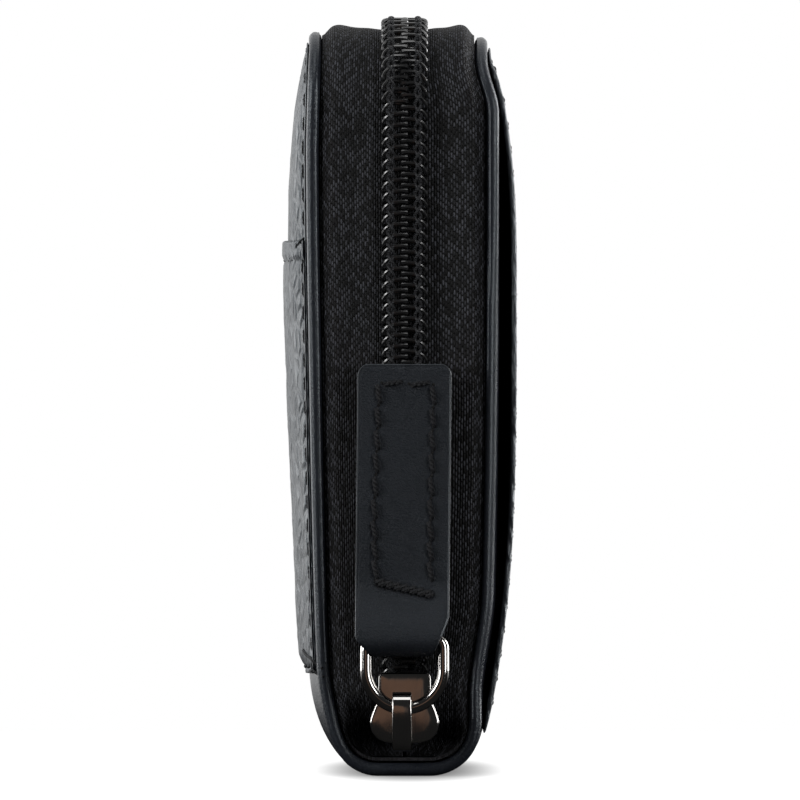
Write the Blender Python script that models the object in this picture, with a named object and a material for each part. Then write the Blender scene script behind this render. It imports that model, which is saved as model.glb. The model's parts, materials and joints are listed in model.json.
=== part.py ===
"""A zip-around leather wallet that stands on its spine, in metres, +Z up.

The front cover faces -X and the rear cover +X. The spine rests on z = 0. The zip runs up the near
side (-Y), over the top and down the far side (+Y), and its slider is at the closed end, low on the
near side. Every object is one separate piece of the wallet.
"""

import math
from dataclasses import dataclass

import bmesh
import bpy
import numpy as np

MM = 0.001

# Clearances
FIT_GAP = 0.3 * MM
SEW_GAP = 0.15 * MM
CUT_OVERRUN = 2.0 * MM

# Leather shell: front cover, spine and rear cover
SHELL_LENGTH = 132.0 * MM
FRONT_TOP = 97.7 * MM
TOP_STEP = 0.7 * MM
FRONT_FACE = 12.0 * MM
REAR_FACE = 13.0 * MM
FRONT_FLAT = 3.0 * MM
REAR_FLAT = 3.9 * MM
FRONT_RISE = 15.0 * MM
REAR_RISE = 7.5 * MM
REAR_SPLAY = 2.0 * MM
SPLAY_START = 5.0 * MM
WALL_STRAIGHT = 24.0 * MM
SHELL_THICKNESS = 1.7 * MM
CORNER_RADIUS = 10.6 * MM
EDGE_ROLL = 0.7 * MM
ROLL_SHARE = 0.45
REAR_LEAN = 1.5 * MM
LEAN_START = 10.0 * MM
LEAN_END = 3.0 * MM
FRONT_HINGE_SHARE = 0.54
REAR_HINGE_SHARE = 0.35
FOOT_TURN_SHARES = (0.72, 0.4)

# Pebbled panel and slip pocket on the front
PANEL_INSET = 1.4 * MM
PANEL_BOTTOM = 13.4 * MM
PANEL_FOOT_RADIUS = 2.0 * MM
PANEL_EDGE = 0.3 * MM
PANEL_CROWN = 2.2 * MM
PANEL_PUFF = 0.35 * MM
PANEL_PUFF_RISE = 5.0 * MM
PANEL_RAMP = 11.0 * MM
PANEL_PEAK_SHARE = 0.75
PANEL_FALL_POWER = 1.6
POCKET_TOP = 70.2 * MM
POCKET_THICKNESS = 0.5 * MM
HEM_HEIGHT = 2.6 * MM
HEM_BULGE = 0.1 * MM

# Bowed slip pocket on the rear
BOW_BOTTOM = 5.6 * MM
BOW_DEPTH = 1.3 * MM
BOW_THICKNESS = 0.7 * MM
BOW_UPPER_POWER = 2.6
BOW_LOWER_POWER = 2.6

# Main zip
ZIP_CENTRE = 0.6 * MM
ZIP_PITCH = 1.45 * MM
COIL_HALF_WIDTH = 2.95 * MM
COIL_BACK_WIDTH = 1.05 * MM
COIL_HOOK = 0.7 * MM
COIL_HEIGHT = 1.35 * MM
COIL_SIDE_HEIGHT = 0.85 * MM
ROOT_WIDTH_SHARE = 0.3
TIP_WIDTH_SHARE = 0.56
TAPE_THICKNESS = 0.5 * MM
TAPE_FLANGE = 7.0 * MM
TAPE_CROWN = 0.45 * MM
TAPE_PROUD = 0.4 * MM
TAPE_END = 6.5 * MM
TAPE_INNER_EDGE = 1.15 * MM
FIRST_TOOTH = 9.2 * MM
STOP_LENGTH = 1.7 * MM
STOP_WIDTH = 1.6 * MM

# Linings and card slots
LINING_THICKNESS = 0.4 * MM
LINING_BOTTOM = 8.0 * MM
LINING_INSET = 0.8 * MM
CARD_COUNT = 3
CARD_END_ROOM = 10.0 * MM
CARD_BOTTOM = 9.0 * MM
CARD_HEADROOM = 13.7 * MM
CARD_STEP = 12.0 * MM
CARD_THICKNESS = 0.4 * MM
CARD_NOTCH = 2.5 * MM
CARD_NOTCH_HALF = 14.0 * MM

# Coin pocket
COIN_CENTRE = 0.5 * MM
COIN_WIDTH = 5.6 * MM
COIN_END_ROOM = 8.0 * MM
COIN_HEADROOM = 21.7 * MM
COIN_WALL = 0.5 * MM
COIN_SEAM = 1.0 * MM
COIN_GUSSET = 0.4 * MM
COIN_CORNER = 4.0 * MM
COIN_FLANGE = 6.0 * MM

# Coin pocket's zip
COIN_PITCH = 1.9 * MM
COIN_COIL_HALF = 2.0 * MM
COIN_COIL_BACK = 0.7 * MM
COIN_HOOK = 0.5 * MM
COIN_COIL_HEIGHT = 1.0 * MM
COIN_SIDE_HEIGHT = 0.7 * MM
COIN_TAPE_EDGE = 0.85 * MM
COIN_STOP_LENGTH = 1.6 * MM

# Slider
SLIDER_HEIGHT = 8.9 * MM
SLIDER_ABOVE = 4.7 * MM
SLIDER_BELOW = 4.9 * MM
SLIDER_SHOULDER = 4.6 * MM
SLIDER_OUTLINE_SHARES = ((0.75, 1.0), (0.75, 0.2), (0.9, -0.06), (1.0, -0.33), (0.95, -0.66), (0.74, -0.9), (0.4, -1.0))
SLIDER_PLATE = 1.1 * MM
SLIDER_WALL = 0.35 * MM
SLIDER_EDGE = 0.25 * MM
WEDGE_HALF = 0.8 * MM
WEDGE_TOP_SHARE = 0.2
WEDGE_BOTTOM_SHARE = 0.88
BRIDGE_WIDTH = 2.4 * MM
BRIDGE_THICKNESS = 0.9 * MM
BRIDGE_TAIL_SHARE = 0.95

# Ring and pull
RING_WIRE = 0.8 * MM
RING_HALF_WIDTH = 5.05 * MM
RING_HEIGHT = 9.14 * MM
RING_CORNER = 1.2 * MM
PULL_LENGTH = 35.9 * MM
PULL_HALF_WIDTH = 6.1 * MM
PULL_CORNER = 1.3 * MM
PULL_LAYER = 1.0 * MM
PULL_TAPER = 4.1 * MM
PULL_TAPER_SHARE = 0.86
PULL_FOLD_LENGTH = 6.0 * MM

# Coin slider and pull
COIN_SLIDER_FROM_END = 6.0 * MM
COIN_SLIDER_HALF_LENGTH = 3.4 * MM
COIN_SHOULDER = 3.3 * MM
COIN_PLATE = 0.7 * MM
COIN_BAR = 0.4 * MM
COIN_BRIDGE_HALF = 0.7 * MM
COIN_BRIDGE_THICKNESS = 0.6 * MM
COIN_PULL_LENGTH = 13.0 * MM
COIN_PULL_HALF = 2.3 * MM
COIN_PULL_HOLE = 2.7 * MM

# Mesh steps
CORNER_STEPS = 6
FOLD_STEPS = 6
FOLD_ROWS = 5
SPINE_STEPS = 8
PANEL_ROWS = 8
PANEL_COLUMNS = 6
LOOP_STEPS = 6
WIRE_STEPS = 14

HALF_TURN = math.pi
QUARTER_TURN = math.pi / 2

REAR_TOP = FRONT_TOP - TOP_STEP
BOW_TOP = REAR_TOP - PANEL_INSET
CARD_TOP = FRONT_TOP - CARD_HEADROOM
COIN_TOP = FRONT_TOP - COIN_HEADROOM
COIN_HALF_LENGTH = SHELL_LENGTH / 2 - COIN_END_ROOM
TAPE_DEPTH = SHELL_THICKNESS + FIT_GAP
LINING_DEPTH = TAPE_DEPTH + TAPE_THICKNESS + FIT_GAP
CARD_DEPTH = LINING_DEPTH + LINING_THICKNESS + FIT_GAP
ZIP_HALF = SHELL_LENGTH / 2 + TAPE_PROUD
ZIP_TOP = FRONT_TOP + TAPE_PROUD
ZIP_RADIUS = CORNER_RADIUS + TAPE_PROUD
COIL_TOP = SEW_GAP + COIL_HEIGHT
PLATE_UNDER = COIL_TOP + FIT_GAP
PLATE_TOP = PLATE_UNDER + SLIDER_PLATE
WIRE_LEVEL = PLATE_TOP + FIT_GAP + RING_WIRE
COIN_FLOOR = SHELL_THICKNESS + FIT_GAP + LINING_THICKNESS + FIT_GAP


@dataclass(frozen=True)
class Side:
    """One cover's side: where its outer face is, and how its fold and top run."""

    name: str
    sign: int
    face: float
    flat: float
    rise: float
    splay: float
    hinge_share: float
    top: float
    lean: float

    def reach(self, depth):
        """How far the fold's round goes out from the spine's flat."""
        return self.face - self.splay - self.flat - depth


FRONT = Side("front", -1, FRONT_FACE, FRONT_FLAT, FRONT_RISE, 0.0, FRONT_HINGE_SHARE, FRONT_TOP, 0.0)
REAR = Side("rear", 1, REAR_FACE, REAR_FLAT, REAR_RISE, REAR_SPLAY, REAR_HINGE_SHARE, REAR_TOP, REAR_LEAN)


@dataclass(frozen=True)
class Coil:
    """Sizes of one half of a zip's chain."""

    pitch: float
    half_width: float
    back_width: float
    hook: float
    height: float
    side_height: float


MAIN_COIL = Coil(ZIP_PITCH, COIL_HALF_WIDTH, COIL_BACK_WIDTH, COIL_HOOK, COIL_HEIGHT, COIL_SIDE_HEIGHT)
COIN_COIL = Coil(COIN_PITCH, COIN_COIL_HALF, COIN_COIL_BACK, COIN_HOOK, COIN_COIL_HEIGHT, COIN_SIDE_HEIGHT)


@dataclass(frozen=True)
class Finish:
    """A plain material."""

    name: str
    colour: tuple
    roughness: float
    metallic: float = 0.0


SMOOTH_LEATHER = Finish("smooth_leather", (0.016, 0.018, 0.022), 0.42)
PEBBLED_LEATHER = Finish("pebbled_leather", (0.022, 0.025, 0.03), 0.5)
PULL_LEATHER = Finish("pull_leather", (0.012, 0.013, 0.017), 0.5)
WOVEN_TAPE = Finish("woven_tape", (0.009, 0.009, 0.01), 0.9)
NYLON = Finish("nylon", (0.008, 0.008, 0.009), 0.35)
LINING_CLOTH = Finish("lining_cloth", (0.012, 0.012, 0.014), 0.85)
CARD_LEATHER = Finish("card_leather", (0.015, 0.016, 0.019), 0.5)
GUNMETAL = Finish("gunmetal", (0.3, 0.29, 0.28), 0.16, 1.0)


def clear_scene():
    for obj in list(bpy.data.objects):
        bpy.data.objects.remove(obj, do_unlink=True)


def material(finish):
    found = bpy.data.materials.get(finish.name)
    if found:
        return found
    made = bpy.data.materials.new(finish.name)
    made.use_nodes = True
    shader = made.node_tree.nodes["Principled BSDF"]
    shader.inputs["Base Color"].default_value = (*finish.colour, 1.0)
    shader.inputs["Roughness"].default_value = finish.roughness
    shader.inputs["Metallic"].default_value = finish.metallic
    return made


def add_mesh(name, points, faces, finish):
    """An object from points and faces, its faces turned outwards and shaded smooth."""
    mesh = bpy.data.meshes.new(name)
    mesh.from_pydata([tuple(point) for point in points], [], [tuple(face) for face in faces])
    bm = bmesh.new()
    bm.from_mesh(mesh)
    bmesh.ops.recalc_face_normals(bm, faces=bm.faces)
    bm.to_mesh(mesh)
    bm.free()
    mesh.shade_smooth()
    mesh.set_sharp_from_angle(angle=math.radians(35))
    mesh.materials.append(material(finish))
    obj = bpy.data.objects.new(name, mesh)
    bpy.context.scene.collection.objects.link(obj)
    return obj


def slab(name, outer, inner, finish):
    """Close the space between two grids of points (rows, columns, 3) into one skin."""
    rows, columns, _ = outer.shape
    count = rows * columns
    index = np.arange(count).reshape(rows, columns)
    quads = np.stack([index[:-1, :-1], index[1:, :-1], index[1:, 1:], index[:-1, 1:]], axis=-1)
    quads = quads.reshape(-1, 4)
    rim = np.concatenate([index[0, :-1], index[:-1, -1], index[-1, :0:-1], index[:0:-1, 0]])
    after = np.roll(rim, -1)
    walls = np.stack([rim, after, after + count, rim + count], axis=-1)
    points = np.concatenate([outer.reshape(-1, 3), inner.reshape(-1, 3)])
    faces = np.concatenate([quads, quads[:, ::-1] + count, walls]).tolist()
    return add_mesh(name, points.tolist(), faces, finish)


def roll_edges(outer, inner):
    """Draw both faces together along the border, so that the edge is rounded."""
    factor = np.full(outer.shape[:2], ROLL_SHARE)
    factor[1:-1, 1:-1] = 1.0
    middle = (outer + inner) / 2
    half = (outer - inner) / 2 * factor[..., None]
    return middle + half, middle - half


def smooth_step(value):
    value = np.clip(value, 0.0, 1.0)
    return value * value * (3 - 2 * value)


def stack_xyz(x, y, z):
    return np.stack(np.broadcast_arrays(x, y, z), axis=-1).astype(float)


# The covers' walls

def wall_x(side, z, depth):
    """x of the surface that lies `depth` inside a cover's outer face, at height z."""
    below = np.clip((side.rise - z) / (side.rise - depth), 0.0, 1.0)
    reach = side.reach(depth) * np.sqrt(1 - below * below)
    splay = side.splay * smooth_step((z - SPLAY_START) / (WALL_STRAIGHT - SPLAY_START))
    lean = side.lean * smooth_step((z - side.top + LEAN_START) / (LEAN_START - LEAN_END))
    return side.sign * (side.flat + reach + splay - lean)


def fold_point(side, turn, depth):
    """(x, z) on the round of the fold: turn 0 is at the cover's wall, a quarter turn at the flat."""
    z = side.rise - (side.rise - depth) * math.sin(turn)
    return np.array([float(wall_x(side, z, depth)), z])


def hinge_point(side):
    return fold_point(side, side.hinge_share * QUARTER_TURN, SHELL_THICKNESS / 2)


def spine_turn(side):
    """The turn at which the spine starts, clear of the cover's rounded foot."""
    turn = side.hinge_share * QUARTER_TURN
    middle = SHELL_THICKNESS / 2
    speed = math.hypot(side.reach(middle) * math.sin(turn), (side.rise - middle) * math.cos(turn))
    return turn + (middle + FIT_GAP) / speed


def corner_rows(radius, roll):
    """Distance from the edge and inset of the rows that run round a corner, from inside to the edge."""
    if radius == 0:
        return np.array([roll, 0.0]), np.zeros(2)
    turn = np.linspace(0, QUARTER_TURN, CORNER_STEPS + 1)
    return radius * (1 - np.sin(turn)), radius * (1 - np.cos(turn))


def rows_between(low, high, rows):
    """Heights between two rows, closer together where the wall turns into the fold."""
    fold = np.linspace(low, WALL_STRAIGHT, FOLD_ROWS)
    return np.concatenate([fold[1:], np.linspace(WALL_STRAIGHT, high, rows)[1:-1]])


def panel_grid(half, bottom, top, radius, foot, rows, columns):
    """y and z of a panel's points: an oblong with corners rounded at the top and at the foot."""
    top_rows, top_inset = corner_rows(radius, EDGE_ROLL)
    foot_rows, foot_inset = corner_rows(foot, EDGE_ROLL)
    inside = rows_between(bottom + foot_rows[0], top - top_rows[0], rows)
    z = np.concatenate([(bottom + foot_rows)[::-1], inside, top - top_rows])
    inset = np.concatenate([foot_inset[::-1], np.zeros(len(inside)), top_inset])
    width = (half - inset)[:, None]
    shares = np.linspace(-1, 1, columns + 1)[None, :]
    y = np.concatenate([-width, (width - EDGE_ROLL) * shares, width], axis=1)
    return y, np.broadcast_to(z[:, None], y.shape)


# The shell

def cover(side):
    """One cover: flat wall, rounded top corners, and a foot that turns on the fold's axis."""
    turn = side.hinge_share * QUARTER_TURN
    outer = [fold_point(side, turn, 0.0)]
    inner = [fold_point(side, turn, SHELL_THICKNESS)]
    centre = (outer[0] + inner[0]) / 2
    across = (outer[0] - inner[0]) / 2
    down = np.array([-side.sign * abs(across[1]), -abs(across[0])])
    foot_outer, foot_inner = [], []
    for share in FOOT_TURN_SHARES:
        step = share * QUARTER_TURN
        foot_outer.append(centre + down * math.sin(step) + across * math.cos(step))
        foot_inner.append(centre + down * math.sin(step) - across * math.cos(step))
    for step in range(1, FOLD_STEPS + 1):
        angle = turn * (1 - step / FOLD_STEPS)
        outer.append(fold_point(side, angle, 0.0))
        inner.append(fold_point(side, angle, SHELL_THICKNESS))
    top_rows, top_inset = corner_rows(CORNER_RADIUS, EDGE_ROLL)
    splayed = np.linspace(side.rise, WALL_STRAIGHT, FOLD_ROWS)[1:]
    heights = [*splayed, *(side.top - top_rows)]
    insets = [0.0] * (len(foot_outer) + len(outer) + len(splayed)) + [*top_inset]
    outer += [np.array([wall_x(side, z, 0.0), z]) for z in heights]
    inner += [np.array([wall_x(side, z, SHELL_THICKNESS), z]) for z in heights]
    return section_sheet(
        f"{side.name}_cover", np.array(foot_outer + outer), np.array(foot_inner + inner),
        SHELL_LENGTH / 2 - np.array(insets), SMOOTH_LEATHER,
    )


def section_sheet(name, outer, inner, half_widths, finish):
    """A sheet whose section in x and z is given by pairs of points, drawn out along y."""
    half = half_widths[:, None]
    y = np.concatenate([-half, -half + EDGE_ROLL, half - EDGE_ROLL, half], axis=1)
    faces = [stack_xyz(line[:, None, 0], y, line[:, None, 1]) for line in (outer, inner)]
    middle = (faces[0] + faces[1]) / 2
    reach = (faces[0] - faces[1]) / 2
    reach[:, (0, -1)] *= ROLL_SHARE
    reach[-1] *= ROLL_SHARE
    return slab(name, middle + reach, middle - reach, finish)


def spine_section(depth):
    halves = [
        [fold_point(side, turn, depth) for turn in np.linspace(spine_turn(side), QUARTER_TURN, SPINE_STEPS)]
        for side in (FRONT, REAR)
    ]
    return np.array(halves[0] + halves[1][::-1])


def spine():
    outer = spine_section(0.0)
    inner = spine_section(SHELL_THICKNESS)
    half = np.full(len(outer), SHELL_LENGTH / 2)[:, None]
    y = np.concatenate([-half, -half + EDGE_ROLL, half - EDGE_ROLL, half], axis=1)
    faces = [stack_xyz(line[:, None, 0], y, line[:, None, 1]) for line in (outer, inner)]
    middle = (faces[0] + faces[1]) / 2
    reach = (faces[0] - faces[1]) / 2
    reach[:, (0, -1)] *= ROLL_SHARE
    slab("spine_panel", middle + reach, middle - reach, SMOOTH_LEATHER)


def spine_lining():
    depth = SHELL_THICKNESS + FIT_GAP
    outer = spine_section(depth)
    inner = spine_section(depth + LINING_THICKNESS)
    half = SHELL_LENGTH / 2 - LINING_INSET
    y = np.array([[-half, half]])
    faces = [stack_xyz(line[:, None, 0], y, line[:, None, 1]) for line in (outer, inner)]
    slab("spine_lining", *faces, LINING_CLOTH)


# Front panel and pocket

def edge_distance(y, z, half, bottom, top):
    return np.minimum(half - np.abs(y), np.minimum(z - bottom, top - z))


def panel_level(y, z, half):
    """How far the front panel's face stands off, as a share of its crown."""
    top = FRONT_TOP - PANEL_INSET
    share = (z - PANEL_BOTTOM) / (top - PANEL_BOTTOM)
    upper = np.sin(QUARTER_TURN * np.clip((1 - share) / (1 - PANEL_PEAK_SHARE), 0, 1))
    lower = 1 - np.clip((PANEL_PEAK_SHARE - share) / PANEL_PEAK_SHARE, 0, 1) ** PANEL_FALL_POWER
    ends = smooth_step((half - np.abs(y)) / PANEL_RAMP)
    return np.minimum(upper, lower) * ends


def front_panel():
    half = SHELL_LENGTH / 2 - PANEL_INSET
    top = FRONT_TOP - PANEL_INSET
    y, z = panel_grid(
        half, PANEL_BOTTOM, top, CORNER_RADIUS - PANEL_INSET, PANEL_FOOT_RADIUS, PANEL_ROWS, PANEL_COLUMNS
    )
    share = panel_level(y, z, half)
    puff = PANEL_PUFF * smooth_step((z - POCKET_TOP) / PANEL_PUFF_RISE)
    level = PANEL_EDGE + (PANEL_CROWN - PANEL_EDGE + puff) * share
    back = wall_x(FRONT, z, 0.0) - FIT_GAP
    faces = roll_edges(stack_xyz(back - level, y, z), stack_xyz(back, y, z))
    slab("front_panel", *faces, PEBBLED_LEATHER)


def front_pocket():
    """The slip pocket over the panel's lower part, with its hem turned over at the opening."""
    half = SHELL_LENGTH / 2 - PANEL_INSET
    y, z = panel_grid(half, PANEL_BOTTOM, POCKET_TOP, 0.0, PANEL_FOOT_RADIUS, PANEL_ROWS, PANEL_COLUMNS)
    level = PANEL_EDGE + (PANEL_CROWN - PANEL_EDGE) * panel_level(y, z, half)
    back = wall_x(FRONT, z, 0.0) - FIT_GAP - level - FIT_GAP
    hem = HEM_BULGE * smooth_step((z - POCKET_TOP + HEM_HEIGHT) / HEM_HEIGHT)
    faces = roll_edges(stack_xyz(back - POCKET_THICKNESS - hem, y, z), stack_xyz(back, y, z))
    slab("front_pocket", *faces, PEBBLED_LEATHER)


# Rear pocket

def rear_pocket():
    """The bowed outer layer: sewn along the top, the bottom and the far side, open at the near side."""
    half = SHELL_LENGTH / 2 - PANEL_INSET
    radius = CORNER_RADIUS - PANEL_INSET
    y, z = panel_grid(half, BOW_BOTTOM, BOW_TOP, radius, 0.0, PANEL_ROWS, PANEL_COLUMNS)
    middle = (BOW_BOTTOM + BOW_TOP) / 2
    reach = (z - middle) / (BOW_TOP - middle)
    power = np.where(reach > 0, BOW_UPPER_POWER, BOW_LOWER_POWER)
    arch = 1 - np.abs(reach) ** power
    along = 1 - smooth_step((y + half) / (2 * half))
    foot = wall_x(REAR, z, 0.0) + FIT_GAP
    lift = BOW_DEPTH * arch * along
    faces = roll_edges(stack_xyz(foot + lift + BOW_THICKNESS, y, z), stack_xyz(foot + lift, y, z))
    slab("rear_pocket", *faces, PEBBLED_LEATHER)


# Linings and card slots

def lining(side):
    half = ZIP_HALF - TAPE_THICKNESS - LINING_INSET
    top = min(side.top, FRONT_TOP) - LINING_INSET
    y, z = panel_grid(half, LINING_BOTTOM, top, CORNER_RADIUS - LINING_INSET, 0.0, FOLD_STEPS, 1)
    outer = stack_xyz(wall_x(side, z, LINING_DEPTH), y, z)
    inner = stack_xyz(wall_x(side, z, LINING_DEPTH + LINING_THICKNESS), y, z)
    slab(f"{side.name}_lining", outer, inner, LINING_CLOTH)


def card_panels(side):
    """Card slots: each panel is lower than the one behind it, with a shallow thumb cut in its top."""
    for number in range(CARD_COUNT):
        depth = CARD_DEPTH + number * (CARD_THICKNESS + FIT_GAP)
        top = CARD_TOP - number * CARD_STEP
        half = SHELL_LENGTH / 2 - CARD_END_ROOM
        across = np.concatenate([[-half], np.linspace(-CARD_NOTCH_HALF, CARD_NOTCH_HALF, 7), [half]])
        dip = CARD_NOTCH * np.clip(1 - (across / CARD_NOTCH_HALF) ** 2, 0, 1)
        fold = np.linspace(CARD_BOTTOM, WALL_STRAIGHT, FOLD_ROWS)
        z = np.stack([*(np.full(len(across), height) for height in fold), top - dip])
        y = np.broadcast_to(across, z.shape)
        outer = stack_xyz(wall_x(side, z, depth), y, z)
        inner = stack_xyz(wall_x(side, z, depth + CARD_THICKNESS), y, z)
        slab(f"{side.name}_card_panel_{number + 1}", outer, inner, CARD_LEATHER)


# Zip path

class AroundPath:
    """The zip's line: up the near side, round a corner, along the top, and down the far side."""

    def __init__(self):
        self.rise = ZIP_TOP - ZIP_RADIUS - TAPE_END
        self.bend = QUARTER_TURN * ZIP_RADIUS
        self.run = 2 * (ZIP_HALF - ZIP_RADIUS)
        self.length = 2 * self.rise + 2 * self.bend + self.run

    def at(self, s):
        """y, z and the outward normal's y and z at distances s along the line."""
        s = np.asarray(s, float)
        first = np.clip(s - self.rise, 0, self.bend) / ZIP_RADIUS
        second = np.clip(s - self.rise - self.bend - self.run, 0, self.bend) / ZIP_RADIUS
        angle = HALF_TURN - first - second
        up = np.minimum(s, self.rise)
        along = np.clip(s - self.rise - self.bend, 0, self.run)
        down = np.maximum(s - self.rise - 2 * self.bend - self.run, 0)
        y = -ZIP_HALF + ZIP_RADIUS + ZIP_RADIUS * np.cos(angle) + along
        z = TAPE_END + up - down + ZIP_RADIUS * np.sin(angle)
        return y, z, np.cos(angle), np.sin(angle)

    def stations(self):
        """Distances at which a tape needs a row of points."""
        lower = np.linspace(0, WALL_STRAIGHT - TAPE_END, FOLD_ROWS)
        bend = np.linspace(self.rise, self.rise + self.bend, CORNER_STEPS + 1)
        half = np.concatenate([lower, bend])
        return np.concatenate([half, (self.length - half)[::-1]])


class StraightPath:
    """The coin zip's line, along y at one height."""

    def __init__(self, half, height):
        self.half = half
        self.height = height
        self.length = 2 * half

    def at(self, s):
        s = np.asarray(s, float)
        return s - self.half, np.full_like(s, self.height), np.zeros_like(s), np.ones_like(s)


def zip_tape(side, path):
    """A tape: its flange is sewn inside the cover, and its web crosses to the chain."""
    s = path.stations()
    y, z, out_y, out_z = path.at(s)

    def row(depth, lift):
        height = z + out_z * lift
        return stack_xyz(wall_x(side, height, depth), y + out_y * lift, height)

    def web_row(reach, lift):
        return stack_xyz(ZIP_CENTRE + side.sign * reach, y + out_y * lift, z + out_z * lift)

    def web_blend(share, lift):
        return row(TAPE_DEPTH, lift) * (1 - share) + web_row(flat, lift) * share

    flat = SLIDER_SHOULDER + FIT_GAP
    under = -TAPE_THICKNESS
    inner_depth = TAPE_DEPTH + TAPE_THICKNESS
    outer = [
        row(TAPE_DEPTH, -TAPE_FLANGE),
        row(TAPE_DEPTH, 2 * under),
        row(TAPE_DEPTH + SEW_GAP, under / 2),
        web_blend(0.2, TAPE_CROWN / 2),
        web_blend(0.5, TAPE_CROWN),
        web_blend(0.8, TAPE_CROWN / 2),
        web_row(flat, 0.0),
        web_row(TAPE_INNER_EDGE, 0.0),
    ]
    inner = [
        row(inner_depth, -TAPE_FLANGE),
        row(inner_depth, 2 * under),
        row(inner_depth + SEW_GAP, 2 * under),
        web_blend(0.2, TAPE_CROWN / 2 + under),
        web_blend(0.5, TAPE_CROWN + under),
        web_blend(0.8, TAPE_CROWN / 2 + under),
        web_row(flat, under),
        web_row(TAPE_INNER_EDGE, under),
    ]
    slab(f"{side.name}_zip_tape", np.array(outer), np.array(inner), WOVEN_TAPE)


def coil(name, path, centre, sign, size, first, last):
    """One half of a chain: a back strip with hooked teeth, each wider at its tip than at its root.

    The other half's teeth stand in the spaces between these, half a pitch further on.
    """
    offset = 0.0 if sign < 0 else size.pitch / 2
    count = int((last - first - offset) / size.pitch) + 1
    middle = first + offset + size.pitch * np.arange(count)
    root = size.pitch * ROOT_WIDTH_SHARE / 2
    tip = size.pitch * TIP_WIDTH_SHARE / 2
    inner_back = size.half_width - size.back_width
    low = SEW_GAP
    high = SEW_GAP + size.height
    side_high = SEW_GAP + size.side_height

    def points(s, reach, lift):
        y, z, out_y, out_z = path.at(s)
        return stack_xyz(centre + sign * reach, y + out_y * lift, z + out_z * lift)

    levels = []
    for side_lift, lift in ((low, low), (side_high, high)):
        levels.append(points(middle, size.half_width, side_lift))
        levels.append(points(middle - root, inner_back, lift))
        levels.append(points(middle + root, inner_back, lift))
        levels.append(points(middle - tip, -size.hook, lift))
        levels.append(points(middle + tip, -size.hook, lift))
    back, left, right, tip_left, tip_right = (np.arange(count) + part * count for part in range(5))
    faces = []

    def both(*corners):
        quad = np.stack(corners, axis=-1)
        faces.extend(quad.tolist())
        faces.extend((quad[:, ::-1] + 5 * count).tolist())

    def wall(a, b):
        faces.extend(np.stack([a, b, b + 5 * count, a + 5 * count], axis=-1).tolist())

    both(back, left, right)
    both(left, tip_left, tip_right, right)
    both(back[:-1], right[:-1], left[1:], back[1:])
    wall(left, tip_left)
    wall(tip_left, tip_right)
    wall(tip_right, right)
    wall(right[:-1], left[1:])
    wall(back[:-1], back[1:])
    wall(back[:1], left[:1])
    wall(right[-1:], back[-1:])
    add_mesh(name, np.concatenate(levels), faces, NYLON)


def box(name, low, high, finish):
    outer = np.array([[low, (low[0], high[1], low[2])], [(low[0], low[1], high[2]), (low[0], high[1], high[2])]])
    inner = outer.astype(float).copy()
    inner[..., 0] = high[0]
    return slab(name, outer.astype(float), inner, finish)


def zip_stop(side):
    """The crimped stop at the far end of a coil; the closed end has the slider and the turned-in tape."""
    near = side.sign * (WEDGE_HALF + 2 * FIT_GAP)
    x = sorted((ZIP_CENTRE + near, ZIP_CENTRE + near + side.sign * STOP_WIDTH))
    top = FIRST_TOOTH - ZIP_PITCH * TIP_WIDTH_SHARE - FIT_GAP
    low = (x[0], ZIP_HALF + SEW_GAP, top - STOP_LENGTH)
    bevel(box(f"{side.name}_zip_stop", low, (x[1], ZIP_HALF + COIL_TOP, top), GUNMETAL), SLIDER_EDGE)


def bevel(obj, width):
    made = obj.modifiers.new("Edges", "BEVEL")
    made.width = width
    made.segments = 1
    made.limit_method = "ANGLE"
    return made


# Coin pocket

def coin_pocket():
    half = COIN_HALF_LENGTH
    for name, sign in (("front", -1), ("rear", 1)):
        outside = COIN_CENTRE + sign * COIN_WIDTH / 2
        x = sorted((outside, outside - sign * COIN_WALL))
        box(f"coin_wall_{name}", (x[0], -half, COIN_FLOOR), (x[1], half, COIN_TOP), LINING_CLOTH)
    side = half - COIN_SEAM
    floor = COIN_FLOOR + COIN_SEAM
    turn = np.linspace(0, QUARTER_TURN, CORNER_STEPS + 1)
    lines = []
    for radius, reach, low in (
        (COIN_CORNER, side, floor),
        (COIN_CORNER - COIN_GUSSET, side - COIN_GUSSET, floor + COIN_GUSSET),
    ):
        y = -reach + radius * (1 - np.cos(turn))
        z = low + radius * (1 - np.sin(turn))
        y = np.concatenate([[-reach], y, -y[::-1], [reach]])
        z = np.concatenate([[COIN_TOP], z, z[::-1], [COIN_TOP]])
        lines.append((y, z))
    inside = COIN_WIDTH / 2 - COIN_WALL - FIT_GAP
    x = np.array([[COIN_CENTRE - inside], [COIN_CENTRE + inside]])
    outer, inner = (stack_xyz(x, y[None, :], z[None, :]) for y, z in lines)
    slab("coin_gusset", outer, inner, LINING_CLOTH)


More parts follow.
